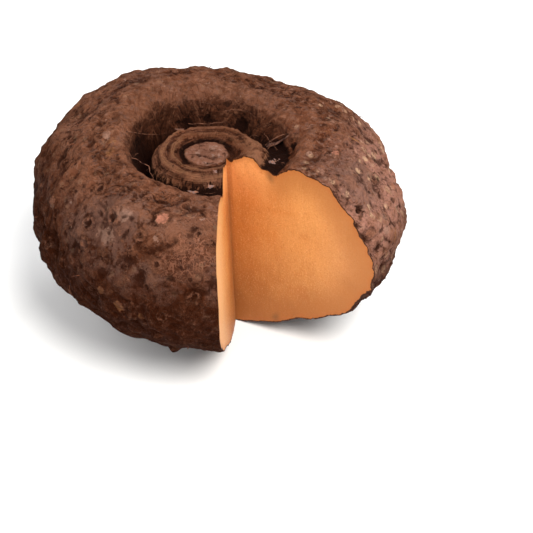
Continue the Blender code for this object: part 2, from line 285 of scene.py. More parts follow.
class YamColours(bpy.types.PropertyGroup):
    """Colours of the skin, the flesh and the dry growth."""

    # Also laid as painted shade in the hollows and the sunk places.
    skin_dark: a_colour("Dark skin", "Skin in hollows and old pits", (0.024, 0.0066, 0.0030))
    skin_brown: a_colour("Brown skin", "The skin's main colour", (0.122, 0.040, 0.0185))
    skin_red: a_colour("Red skin", "Redder skin, in broad patches", (0.136, 0.040, 0.0165))
    skin_light: a_colour(
        "Worn skin", "Worn, lighter skin on crests and fibres", (0.265, 0.108, 0.060)
    )
    skin_grey: a_colour("Dusty skin", "Mauve grey bloom of dry earth", (0.170, 0.088, 0.066))
    # Painted shade near the base.
    low_painted_shade: a_colour("Low skin", "Damp, dark skin near the base", (0.0250, 0.0046, 0.0006))
    # The wall's fibres, darkened with painted shade.
    shaded_wall: a_colour(
        "Crown wall", "The dark fibrous wall behind the groove", (0.052, 0.0165, 0.0080)
    )
    scar_pink: a_colour("Scar", "Pinkish cork of the root scars", (0.370, 0.150, 0.090))
    scar_fresh: a_colour(
        "Fresh scar", "Salmon pads where roots came away last", (0.600, 0.235, 0.150)
    )
    scar_pale: a_colour(
        "Pale flakes", "Whitish flakes and mould on the skin", (0.400, 0.240, 0.180)
    )
    # Dust on the collar and the disc, and painted light and sheen on the right side.
    skin_dust_and_light: a_colour("Dusty side", "Lighter, dusty skin on one side", (0.400, 0.186, 0.134))
    fleck_pale: a_colour(
        "Corky flecks", "Pale corky flecks on the dusty side", (0.520, 0.310, 0.190)
    )
    patch_tan: a_colour("Tan patch", "Scraped tan patches", (0.310, 0.132, 0.052))
    collar_olive: a_colour("Collar", "Crests of the rings on the collar", (0.268, 0.120, 0.058))
    # Painted shade: the groove, the gap round the disc, the sunk places of the crown and holes in
    # its wall.
    painted_shade_black: a_colour("Groove", "The darkest part of the groove", (0.010, 0.003, 0.0018))
    flesh_light: a_colour("Pale flesh", "Flesh away from the middle", (0.590, 0.252, 0.074))
    flesh_deep: a_colour("Deep flesh", "Flesh near the middle of the corm", (0.500, 0.168, 0.036))
    # Duller flesh, partly painted shade towards the base and along the inner edge of the left face.
    flesh_low_and_shade: a_colour("Low flesh", "Duller flesh near the base", (0.310, 0.112, 0.032))
    # Rust stains, and painted shade in the crease along the inner edge.
    flesh_rust_and_shade: a_colour("Rusty flesh", "Stains and the zone below the skin", (0.380, 0.115, 0.028))
    flesh_stain: a_colour("Stained flesh", "Brown stain below the groove", (0.200, 0.088, 0.030))
    # Partly a painted highlight below the crown.
    flesh_top_and_highlight: a_colour("High flesh", "Brighter flesh below the crown", (0.740, 0.312, 0.102))
    flesh_pink: a_colour(
        "Pinkish flesh", "Flesh of the right face towards the skin", (0.420, 0.175, 0.074)
    )
    flesh_cream: a_colour(
        "Creamy flesh", "Paler flesh at the front of the left face", (0.700, 0.400, 0.200)
    )
    flesh_speck: a_colour("Light specks", "Light specks all over the flesh", (0.85, 0.43, 0.18))
    fibre_tan: a_colour("Fibre", "Dry fibres and rootlets", (0.215, 0.088, 0.050))
    scale_brown: a_colour("Leaf scale", "Dry remains of leaf scales", (0.170, 0.078, 0.053))
    grit_grey: a_colour("Grit", "Pale grit and mould in the groove", (0.190, 0.122, 0.112))


def spline(points, steps):
    """A smooth curve through the points, as a list of 2D vectors."""
    ends = [Vector(points[0]) * 2 - Vector(points[1]), Vector(points[-1]) * 2 - Vector(points[-2])]
    chain = [ends[0]] + [Vector(p) for p in points] + [ends[1]]
    curve = []
    for a, b, c, d in zip(chain, chain[1:], chain[2:], chain[3:]):
        for i in range(steps):
            t = i / steps
            bend, twist = 2 * a - 5 * b + 4 * c - d, 3 * b - a - 3 * c + d
            curve.append(0.5 * (2 * b + (c - a) * t + bend * t**2 + twist * t**3))
    curve.append(chain[-2])
    return curve


class Outline:
    """The corm's half outline, read by the distance along it."""

    def __init__(self):
        points = [(0.0 if r == 0.0 else r * MM, z * MM) for r, z in CROWN_OUTLINE + SIDE_OUTLINE]
        self.curve = spline(points, STEPS_PER_SPAN)
        self.lengths = [0.0]
        for a, b in zip(self.curve, self.curve[1:]):
            self.lengths.append(self.lengths[-1] + (b - a).length)
        self.total = self.lengths[-1]
        self.crown = self.lengths[(len(CROWN_OUTLINE) - 1) * STEPS_PER_SPAN]

    def at(self, distance):
        """The point at this distance from the middle of the crown, and the outward normal."""
        distance = min(max(distance, 0.0), self.total)
        index = min(bisect_right(self.lengths, distance), len(self.lengths) - 1)
        a, b = self.curve[index - 1], self.curve[index]
        start, end = self.lengths[index - 1], self.lengths[index]
        along = (b - a).normalized()
        return a.lerp(b, (distance - start) / (end - start)), Vector((-along.y, along.x))

    def distance_of(self, radius):
        """Distance along the upper outline at which it is this far from the axis."""
        low, high = 0.0, self.total / 2
        for _ in range(30):
            middle = (low + high) / 2
            if self.at(middle)[0].x < radius:
                low = middle
            else:
                high = middle
        return (low + high) / 2


def ease(value, start, end):
    """0 before start, 1 after end, and smooth between them."""
    t = min(max((value - start) / (end - start), 0.0), 1.0)
    return t * t * (3 - 2 * t)


def bell(distance, width):
    return math.exp(-((distance / width) ** 2))


def lumps(place, size, offset=(0.0, 0.0, 0.0)):
    """Smooth noise whose lumps are about this size."""
    return noise.noise(place / size + Vector(offset))


def outwards(azimuth, reach=1.0, height=0.0):
    """The point at this azimuth, distance from the axis and height."""
    return Vector((math.cos(azimuth) * reach, math.sin(azimuth) * reach, height))


def facing(azimuth, side):
    """1 where the azimuth looks to this side, and 0 where it looks away."""
    return 0.5 + 0.5 * math.cos(azimuth - side)


def scene_settings(context):
    """The sizes and the colours that are set in the scene."""
    return context.scene.yam_sizes, context.scene.yam_colours


def relief(sizes, place, radius, azimuth, on_crown, on_base):
    """How far the skin stands out from the plain outline at a place on it."""
    height = LUMP_HEIGHT * lumps(place, LUMP_SIZE) * 2
    height += KNOB_HEIGHT * lumps(place, KNOB_SIZE, KNOB_OFFSET) * 2
    height *= 1.0 - CROWN_SMOOTHNESS * on_crown
    for side, level, rise, width in SWELLINGS:
        gap = math.hypot(math.cos(azimuth) - math.cos(side), math.sin(azimuth) - math.sin(side))
        reach = max(radius, 1 * MM) * gap
        height += rise * bell(math.hypot(reach, place.z - level), width) * (1.0 - on_crown)
    height *= 1.0 - on_base
    if on_crown > 0.0:
        band = ease(radius, RING_BAND[0], RING_BAND[0] + RING_PITCH / 2)
        band *= 1.0 - ease(radius, RING_BAND[1] - RING_PITCH / 2, RING_BAND[1])
        turn = 2 * math.pi * radius / RING_PITCH + ring_wobble(azimuth)
        height += sizes.ring_height * band * math.sin(turn)
    return height


def ring_wobble(azimuth):
    """How far the growth rings are out of true, as part of a turn in radians."""
    slow = 1.2 * math.sin(azimuth - 0.4) + 0.8 * math.sin(2 * azimuth + 0.6)
    return slow + 0.5 * math.sin(5 * azimuth)


def crown_push(radius, azimuth):
    """How far the crown's features lie outwards of their place on the plain outline."""
    bulge = facing(azimuth, BULGE_SIDE) ** BULGE_SHARPNESS
    wobble = 0.6 * math.sin(3 * azimuth + 1.0) + 0.4 * math.sin(5 * azimuth + 2.2)
    push = BULGE_PUSH * bulge * bell(radius - GROOVE_RADIUS, BULGE_PUSH_WIDTH)
    return push + CROWN_WOBBLE * wobble * bell(radius - GROOVE_RADIUS, CROWN_WOBBLE_WIDTH)


def crown_lift(sizes, radius, azimuth):
    """How far the collar and its groove lie above the plain outline."""
    bulge = facing(azimuth, BULGE_SIDE) ** BULGE_SHARPNESS
    deep = facing(azimuth, GROOVE_DEEP_SIDE)
    lift = BULGE_LIFT * bulge * bell(radius - BULGE_LIFT_RADIUS, BULGE_LIFT_WIDTH)
    groove = BULGE_GROOVE_FILL * bulge - sizes.groove_extra_depth * deep
    return lift + groove * bell(radius - GROOVE_RADIUS, GROOVE_WIDTH)


def skin_point(sizes, outline, azimuth, distance):
    """The skin's point at this azimuth and distance along the outline, and its normal."""
    point, across = outline.at(distance)
    around = outwards(azimuth)
    normal = around * across.x + Vector((0.0, 0.0, across.y))
    place = around * point.x + Vector((0.0, 0.0, point.y))
    on_crown = 1.0 - ease(distance, outline.crown + CROWN_BLEND[0], outline.crown + CROWN_BLEND[1])
    near_base = ease(distance, outline.total - BASE_BLEND[0], outline.total - BASE_BLEND[1])
    place += normal * relief(sizes, place, point.x, azimuth, on_crown, near_base)
    if distance < outline.total / 2:
        place += around * crown_push(point.x, azimuth)
        place.z += crown_lift(sizes, point.x, azimuth)
        shift = COLLAR_SHIFT.lerp(RIM_SHIFT, ease(point.x, COLLAR_EDGE, RIM_EDGE))
        place += (shift * (1.0 - ease(point.x, RIM_EDGE, CROWN_SHIFT_END))).to_3d()
    else:
        place += (REST_SHIFT * (1.0 - ease(point.x, *REST_SHIFT_ENDS))).to_3d()
    return place, normal


def row_distance(outline, share):
    """Distance along the outline of a row, given as its share of the way from pole to pole."""
    if share < CROWN_ROWS_SHARE:
        return outline.crown * share / CROWN_ROWS_SHARE
    past = (share - CROWN_ROWS_SHARE) / (1.0 - CROWN_ROWS_SHARE)
    return outline.crown + (outline.total - outline.crown) * past


# A root scar: where its middle is, its radius, its kind and a tone from 0 to 1.
Scar = namedtuple("Scar", ("place", "radius", "kind", "tone"))


def draw_scars(sizes, outline):
    """The large root scars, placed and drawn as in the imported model."""
    rng = random.Random(SCAR_SEED)
    tones = random.Random(SCAR_SEED + 1)
    scars = []
    for side, past, size, kind in PLACED_SCARS:
        place, _ = skin_point(sizes, outline, math.radians(side), outline.crown + past * MM)
        scars.append(Scar(place, SCAR_RADIUS * size, kind, tones.uniform(0.5, 1.0)))
    first, last = outline.crown + SCAR_FROM_CROWN, outline.total - SCAR_FROM_REST
    widest = max(p.x for p in outline.curve)
    while len(scars) < SCAR_COUNT:
        azimuth = rng.uniform(-math.pi, math.pi)
        distance = rng.uniform(first, last)
        size = rng.uniform(*SCAR_SIZES)
        kind = rng.choice(SCAR_KINDS)
        if rng.random() > outline.at(distance)[0].x / widest:
            continue
        place, _ = skin_point(sizes, outline, azimuth, distance)
        if all((place - other.place).length > SCAR_GAP for other in scars):
            scars.append(Scar(place, SCAR_RADIUS * size, kind, tones.random() * 0.7))
    return scars


def draw_small_scars(sizes, outline, large):
    """Smaller root scars in the room that the large ones leave."""
    rng = random.Random(SMALL_SCAR_SEED)
    scars = []
    first, last = outline.crown + 2 * MM, outline.total - SCAR_FROM_REST / 2
    widest = max(p.x for p in outline.curve)
    for _ in range(sizes.small_scar_count * 6):
        if len(scars) == sizes.small_scar_count:
            break
        azimuth = rng.uniform(-math.pi, math.pi)
        distance = rng.uniform(first, last)
        radius = SMALL_SCAR_RADIUS * rng.uniform(*SMALL_SCAR_SIZES)
        tone = rng.random()
        if rng.random() > outline.at(distance)[0].x / widest:
            continue
        place, _ = skin_point(sizes, outline, azimuth, distance)
        if any((place - other.place).length < other.radius * 1.2 + radius for other in large):
            continue
        if all((place - other.place).length > SMALL_SCAR_GAP for other in scars):
            scars.append(Scar(place, radius, "ring" if tone > 0.45 else "pit", tone))
    return scars


class ScarField:
    """Finds the scar nearest a place, and how many of its radii away it is."""

    def __init__(self, scars):
        self.scars = scars
        self.tree = kdtree.KDTree(len(scars))
        for index, scar in enumerate(scars):
            self.tree.insert(scar.place, index)
        self.tree.balance()

    def near(self, place):
        bent = place + noise.noise_vector(place / SCAR_BEND_SIZE) * SCAR_BEND
        index = self.tree.find(bent)[1]
        scar = self.scars[index]
        ragged = 1.0 + SCAR_RAGGED * lumps(place, SCAR_RAGGED_SIZE, (5.5, 0.7, 3.9))
        return scar, min((bent - scar.place).length / scar.radius * ragged, NOTHING_NEAR)


def scar_height(kind, reach):
    """Height of a scar, in millimetres, at so many radii from its middle."""
    points = SCAR_HEIGHTS[kind]
    for (near, low), (far, high) in zip(points, points[1:]):
        if reach < far:
            return low + (high - low) * ease(reach, near, far)
    return 0.0


class Patches:
    """Places of one kind on the skin, and how strongly each point of it belongs to them."""

    def __init__(self, sizes, outline, places):
        self.spots = []
        for side, past, radius in places:
            place = skin_point(sizes, outline, math.radians(side), outline.crown + past * MM)[0]
            self.spots.append((place, radius * MM))

    def strength(self, place):
        return max(bell((place - spot).length, radius) for spot, radius in self.spots)


def bark(sizes, place, radius, azimuth, distance, outline):
    """Fine roughness of the skin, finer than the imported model's."""
    past = distance - outline.crown
    side = ease(past, -4 * MM, 24 * MM)
    low = ease(past, 30 * MM, 80 * MM)

    height = 0.55 * lumps(place, 5.5 * MM) + 0.45 * lumps(place, 3.0 * MM, (2.2, 8.1, 4.4))
    warp = noise.noise_vector(place / (11.0 * MM)) * (3.0 * MM)
    gaps = noise.voronoi((place + warp) / (10.0 * MM))[0]
    crease = ease(gaps[1] - gaps[0], 0.0, 0.34) - 0.75
    patch = ease(lumps(place, 42.0 * MM, (3.1, 0.4, 7.7)), -0.35, 0.35)
    height += crease * (0.5 + 0.8 * low) * side * (0.35 + 0.65 * patch)
    height += 0.9 * lumps(place, 9.0 * MM, (6.1, 2.9, 0.3)) * (0.5 + 0.5 * low)

    # Wrinkles that run round the corm, near the crown.
    coarse = noise.noise(outwards(azimuth, 3.4, distance / (4.6 * MM)))
    fine = noise.noise(outwards(azimuth, 7.0, distance / (2.4 * MM) + 9.0))
    wrinkled = 1.0 - ease(past, 14 * MM, 60 * MM)
    height += wrinkled * (0.45 + 0.55 * side) * (1.1 * coarse + 0.6 * fine)

    if distance < outline.total / 2:
        strands = noise.noise(outwards(azimuth, 15, distance / (8.0 * MM)))
        height += 1.2 * bell(radius - GROOVE_RADIUS, 9.0 * MM) * strands
        collar = ease(radius, 15.0 * MM, 19.0 * MM) * (1.0 - ease(radius, 32.0 * MM, 36.0 * MM))
        height += 0.75 * collar * noise.noise(outwards(azimuth, 1.6, radius / (1.7 * MM)))
        height += 1.1 * (1.0 - ease(radius, 11.0 * MM, 14.0 * MM)) * lumps(place, 4.5 * MM)
    smoother = ease(distance - outline.total, -135 * MM, -95 * MM)
    return sizes.bark_height * height * (1.0 - 0.6 * smoother)


# What grow_skin gives for each vertex, after the three parts of "around": how many radii away
# the nearest scars are, their tones and kinds, how far a vertex belongs to the crown and the
# groove, where in the collar's rings it lies, its distance from the axis, and the patches.
VALUE_NAMES = (
    "scar_reach", "scar_tone", "scar_pad", "scar_pit", "small_reach", "small_tone",
    "crown", "groove", "ring_turn", "axis_reach",
    "tan_place", "pale_place", "pink_place", "sunk_shade_place", "grey_place",
)
FAR_FROM_AXIS = 1.0


def grow_skin(sizes, outline, large, small):
    """The whole skin before the cut, as a bmesh, and the values for its finish, a row a vertex."""
    noise.seed_set(NOISE_SEED)
    bm = bmesh.new()
    bmesh.ops.create_cube(bm, size=2.0)
    bmesh.ops.subdivide_edges(bm, edges=bm.edges[:], cuts=sizes.skin_cuts, use_grid_fill=True)
    large_field, small_field = ScarField(large), ScarField(small)
    kinds = (TAN_PLACES, PALE_PLACES, PINK_PLACES, SUNK_SHADE_PLACES, GREY_PLACES)
    patches = [Patches(sizes, outline, places) for places in kinds]
    sunk_patches = patches[kinds.index(SUNK_SHADE_PLACES)]
    values = []
    for vert in bm.verts:
        direction = Vector([math.tan(c * math.pi / 4) for c in vert.co]).normalized()
        azimuth = math.atan2(direction.y, direction.x)
        distance = row_distance(outline, math.acos(max(-1.0, min(1.0, direction.z))) / math.pi)
        radius = outline.at(distance)[0].x
        place, normal = skin_point(sizes, outline, azimuth, distance)
        scar, reach = large_field.near(place)
        small_scar, small_reach = small_field.near(place)

        height = bark(sizes, place, radius, azimuth, distance, outline)
        height += sizes.scar_relief * MM * scar_height(scar.kind, reach)
        height -= sizes.bark_height * 1.2 * sunk_patches.strength(place)
        small_rise = sizes.small_scar_rise * scar_height(small_scar.kind, small_reach)
        height += ease(reach, 1.0, 1.4) * small_rise * (0.4 + 0.6 * small_scar.tone)
        vert.co = place + normal * height

        crown = 1.0 - ease(distance, outline.crown - 8 * MM, outline.crown + 6 * MM)
        groove, ring_turn, axis_reach = 0.0, FAR_FROM_AXIS, FAR_FROM_AXIS
        if distance < outline.total / 2:
            bulge = facing(azimuth, BULGE_SIDE) ** BULGE_SHARPNESS
            groove = bell(radius - GROOVE_RADIUS, 6.5 * MM) * (1.0 - 0.5 * bulge)
            ring_turn = radius + ring_wobble(azimuth) * RING_PITCH / (2 * math.pi)
            axis_reach = radius
        values.append((
            math.cos(azimuth), math.sin(azimuth), distance,
            reach, scar.tone, float(scar.kind == "pad"), float(scar.kind == "pit"),
            small_reach if reach > 1.2 else NOTHING_NEAR, small_scar.tone,
            crown, groove, ring_turn, axis_reach,
            *(patch.strength(place) for patch in patches),
        ))
    return bm, values


def flatten_base(bm):
    """Cuts the underside off level at z = 0, so that the corm rests on a flat spot."""
    parts = bm.verts[:] + bm.edges[:] + bm.faces[:]
    bmesh.ops.bisect_plane(bm, geom=parts, plane_co=(0, 0, 0), plane_no=(0, 0, 1), clear_inner=True)
    open_edges = [edge for edge in bm.edges if edge.is_boundary]
    bmesh.ops.contextual_create(bm, geom=open_edges)


def wedge_cutter(sizes):
    """The wedge that is cut out: a prism with finely gridded, slightly wavy cut faces."""
    bm = bmesh.new()
    bmesh.ops.create_cone(bm, cap_ends=True, segments=3, radius1=1.0, radius2=1.0, depth=1.0)
    left, right = (outwards(side) * CUT_REACH for side in (CUT_LEFT_AZIMUTH, CUT_RIGHT_AZIMUTH))
    inner = []
    for upper, level in ((False, CUT_BELOW), (True, CUT_ABOVE)):
        corners = [vert for vert in bm.verts if (vert.co.z > 0) == upper]
        corners.sort(key=lambda vert: math.atan2(vert.co.y, vert.co.x))
        for corner, reach in zip(corners, (Vector(), left, right)):
            corner.co = CUT_EDGE_FOOT + CUT_EDGE_LEAN * level + reach
        inner.append(corners[0])
    cut_faces = [face for face in inner[0].link_faces if set(inner) <= set(face.verts)]
    gridded = {edge for face in cut_faces for edge in face.edges}
    bmesh.ops.subdivide_edges(bm, edges=list(gridded), cuts=sizes.cut_cuts, use_grid_fill=True)
    bm.normal_update()
    for vert in bm.verts:
        wave = lumps(vert.co, 34.0 * MM) + 0.35 * lumps(vert.co, 9.0 * MM)
        vert.co += vert.normal * (sizes.knife_wave * 2 * wave)
    for face in bm.faces:
        face.material_index = 1
    return bm


def mesh_object(name, bm):
    """Writes the bmesh to a new mesh object in the scene."""
    mesh = bpy.data.meshes.new(name)
    bm.to_mesh(mesh)
    bm.free()
    made = bpy.data.objects.new(name, mesh)
    bpy.context.scene.collection.objects.link(made)
    return made


def cut_wedge_out(corm, cutter):
    """Takes the cutter out of the corm and keeps the result as the corm's mesh."""
    cut = corm.modifiers.new("cut_wedge", "BOOLEAN")
    cut.operation = "DIFFERENCE"
    cut.solver = "EXACT"
    cut.object = cutter
    evaluated = corm.evaluated_get(bpy.context.evaluated_depsgraph_get())
    result = bpy.data.meshes.new_from_object(evaluated)
    corm.modifiers.clear()
    whole = corm.data
    corm.data = result
    result.name = "corm_body"
    bpy.data.meshes.remove(whole)
    spare = cutter.data
    bpy.data.objects.remove(cutter)
    bpy.data.meshes.remove(spare)


def vertex_array(mesh):
    places = np.empty(len(mesh.vertices) * 3)
    mesh.vertices.foreach_get("co", places)
    return places.reshape(-1, 3)


def hollowness(mesh, rounds):
    """How deep each vertex lies below the smoothed surface around it, in metres."""
    places = vertex_array(mesh)
    ends = np.empty(len(mesh.edges) * 2, dtype=np.int32)
    mesh.edges.foreach_get("vertices", ends)
    first, second = ends.reshape(-1, 2).T
    count = np.bincount(first, minlength=len(places)) + np.bincount(second, minlength=len(places))
    smooth = places.copy()
    for _ in range(rounds):
        around = np.empty_like(smooth)
        for axis in range(3):
            around[:, axis] = np.bincount(first, smooth[second, axis], len(places))
            around[:, axis] += np.bincount(second, smooth[first, axis], len(places))
        smooth = around / count[:, None]
    normals = np.empty(len(mesh.vertices) * 3)
    mesh.vertex_normals.foreach_get("vector", normals)
    return ((smooth - places) * normals.reshape(-1, 3)).sum(axis=1)


def write_attribute(mesh, name, values):
    """Keeps a value, or a vector, for each vertex as an attribute that the finish reads."""
    values = np.asarray(values, dtype=np.float32)
    kind, key = ("FLOAT", "value") if values.ndim == 1 else ("FLOAT_VECTOR", "vector")
    mesh.attributes.new(name, kind, "POINT").data.foreach_set(key, values.ravel())


def carry_values(mesh, whole_places, whole_values):
    """The values of the whole skin at each vertex that is left after the cut."""
    tree = kdtree.KDTree(len(whole_places))
    for index, place in enumerate(whole_places):
        tree.insert(place, index)
    tree.balance()
    carried = np.empty((len(mesh.vertices), whole_values.shape[1]))
    for vert in mesh.vertices:
        found = tree.find_n(vert.co, 3)
        if found[0][2] < 1e-5:
            carried[vert.index] = whole_values[found[0][1]]
        else:
            weights = np.array([1.0 / (gap + 1e-5) for _, _, gap in found])
            rows = whole_values[[index for _, index, _ in found]]
            carried[vert.index] = (rows * weights[:, None]).sum(axis=0) / weights.sum()
    return carried


def rim_reach(mesh):
    """Distance of each vertex of the flesh from the line where it meets the skin, in metres."""
    skin, flesh = set(), set()
    for face in mesh.polygons:
        (flesh if face.material_index else skin).update(face.vertices)
    rim = sorted(skin & flesh)
    tree = kdtree.KDTree(len(rim))
    for index in rim:
        tree.insert(mesh.vertices[index].co, index)
    tree.balance()
    reach = np.ones(len(mesh.vertices))
    for index in flesh:
        reach[index] = tree.find(mesh.vertices[index].co)[2]
    return reach


def edge_reach(mesh):
    """Distance of each vertex from the inner edge of the cut, in metres."""
    along = (CUT_EDGE_TOP - CUT_EDGE_FOOT).normalized()
    reach = []
    for vert in mesh.vertices:
        offset = vert.co - CUT_EDGE_FOOT
        reach.append((offset - along * offset.dot(along)).length)
    return reach


def mark_sharp_edges(mesh):
    """Shades all smooth, but sharp where skin meets flesh and along the inner edge of the cut."""
    bm = bmesh.new()
    bm.from_mesh(mesh)
    for face in bm.faces:
        face.smooth = True
    for edge in bm.edges:
        if len(edge.link_faces) == 2:
            one, other = edge.link_faces
            if one.material_index != other.material_index:
                edge.smooth = False
            elif one.material_index and one.normal.angle(other.normal, 0.0) > math.radians(25):
                edge.smooth = False
    bm.to_mesh(mesh)
    bm.free()


def chained(operation):
    """A method that takes two or more values through one kind of math node, in turn."""

    def method(self, first, *others):
        for other in others:
            first = self.math(operation, first, other)
        return first

    return method


class Finish:
    """A material that is being made, with short ways to add its nodes."""

    def __init__(self, name, specular):
        self.material = bpy.data.materials.new(name)
        self.material.use_nodes = True
        self.tree = self.material.node_tree
        self.shader = self.tree.nodes["Principled BSDF"]
        self.set("Specular IOR Level", specular)
        self.set("Metallic", 0.0)
        self.place = self.node("TexCoord", {}, "Object")
        self.colour = None
        self.normal = None

    def put(self, socket, value):
        """Sets a socket to a value, or links it to another socket."""
        if isinstance(value, bpy.types.NodeSocket):
            self.tree.links.new(value, socket)
        elif socket.type == "RGBA":
            socket.default_value = (*value, 1.0)
        else:
            socket.default_value = value

    def node(self, kind, inputs, output=0, **settings):
        """Adds a node with these settings and inputs, and gives one of its outputs."""
        made = self.tree.nodes.new("ShaderNode" + kind)
        for name, value in settings.items():
            setattr(made, name, value)
        for name, value in inputs.items():
            self.put(made.inputs[name], value)
        return made.outputs[output]

    def attribute(self, name, output="Fac"):
        return self.node("Attribute", {}, output, attribute_name=name)

    def math(self, operation, first, second=0.0):
        return self.node("Math", {0: first, 1: second}, operation=operation)

    plus, minus, times, most = map(chained, ("ADD", "SUBTRACT", "MULTIPLY", "MAXIMUM"))

    def flip(self, value):
        """1 minus the value."""
        return self.minus(1.0, value)

    def sway(self, value, amount):
        """Noise round 0.5, made to swing round 0 by this amount."""
        return self.times(self.minus(value, 0.5), amount)

    def vector_math(self, operation, first, second):
        return self.node("VectorMath", {0: first, 1: second}, operation=operation)

    def scaled(self, vector, scale):
        return self.vector_math("MULTIPLY", vector, scale)

    def grain(self, vector, size, detail=3.0, rough=0.55, distortion=0.0, output="Fac"):
        """Noise whose features are about this size, as a value round 0.5."""
        inputs = {"Vector": vector, "Scale": 1.0 / size, "Detail": detail, "Roughness": rough}
        return self.node("TexNoise", {**inputs, "Distortion": distortion}, output)

    def warped(self, vector, size, amount):
        """The vector pushed about by noise of this size."""
        push = self.grain(vector, size, 2.0, 0.5, output="Color")
        push = self.scaled(self.vector_math("SUBTRACT", push, (0.5,) * 3), (amount,) * 3)
        return self.vector_math("ADD", vector, push)

    def curdled(self, size, detail, rough, push_size, push):
        """Grain on the piece, pushed about; the sizes and the push are in millimetres."""
        vector = self.warped(self.place, push_size * MM, push * MM)
        return self.grain(vector, size * MM, detail, rough)

    def streaks(self, around, turns, rows, detail, rough):
        """Grain drawn out round the corm, finer by rows than by turns."""
        return self.grain(self.scaled(around, (turns, turns, rows)), 1.0, detail, rough)

    def cells(self, vector, size, output="Distance"):
        return self.node("TexVoronoi", {"Vector": vector, "Scale": 1.0 / size}, output)

    def threads(self, vector, size, width, distortion=1.2):
        """Thin wandering lines, 1 on a line and 0 away from it."""
        wandering = self.minus(self.grain(vector, size, 1.5, 0.5, distortion), 0.5)
        return self.step(self.math("ABSOLUTE", wandering), width, width * 0.25)

    def step(self, value, low, high, to_low=0.0, to_high=1.0):
        """A smooth step from to_low, where the value is low, to to_high, where it is high."""
        inputs = {"Value": value, "From Min": low, "From Max": high}
        inputs.update({"To Min": to_low, "To Max": to_high})
        return self.node("MapRange", inputs, interpolation_type="SMOOTHSTEP")

    def span(self, value, low, high):
        """A value from 0 to 1, eased to run from low to high."""
        return self.step(value, 0.0, 1.0, low, high)

    def band(self, value, low, high, soft):
        """1 where the value is between low and high."""
        above = self.step(value, low - soft, low + soft)
        return self.times(above, self.step(value, high - soft, high + soft, 1.0, 0.0))

    def parts(self, vector):
        """The x, y and z of a vector or colour."""
        return self.node("SeparateXYZ", {0: vector}, slice(0, 3))

    def mix(self, factor, first, second):
        return self.node("Mix", {"Factor": factor, 6: first, 7: second}, 2, data_type="RGBA")

    def lay(self, tint, *factors):
        """Lays a tint over the colour so far, as strongly as the product of the factors."""
        self.colour = self.mix(self.times(*factors), self.colour, tint)

    def bump(self, height, distance, strength=1.0):
        """Adds this height to the bumps so far."""
        inputs = {"Height": height, "Distance": distance, "Strength": strength}
        if self.normal is not None:
            inputs["Normal"] = self.normal
        self.normal = self.node("Bump", inputs, "Normal")

    def set(self, name, value):
        self.put(self.shader.inputs[name], value)

    def made(self, roughness):
        """The material, with the colour and the bumps laid so far."""
        self.set("Base Color", self.colour)
        self.set("Roughness", roughness)
        if self.normal is not None:
            self.set("Normal", self.normal)
        return self.material


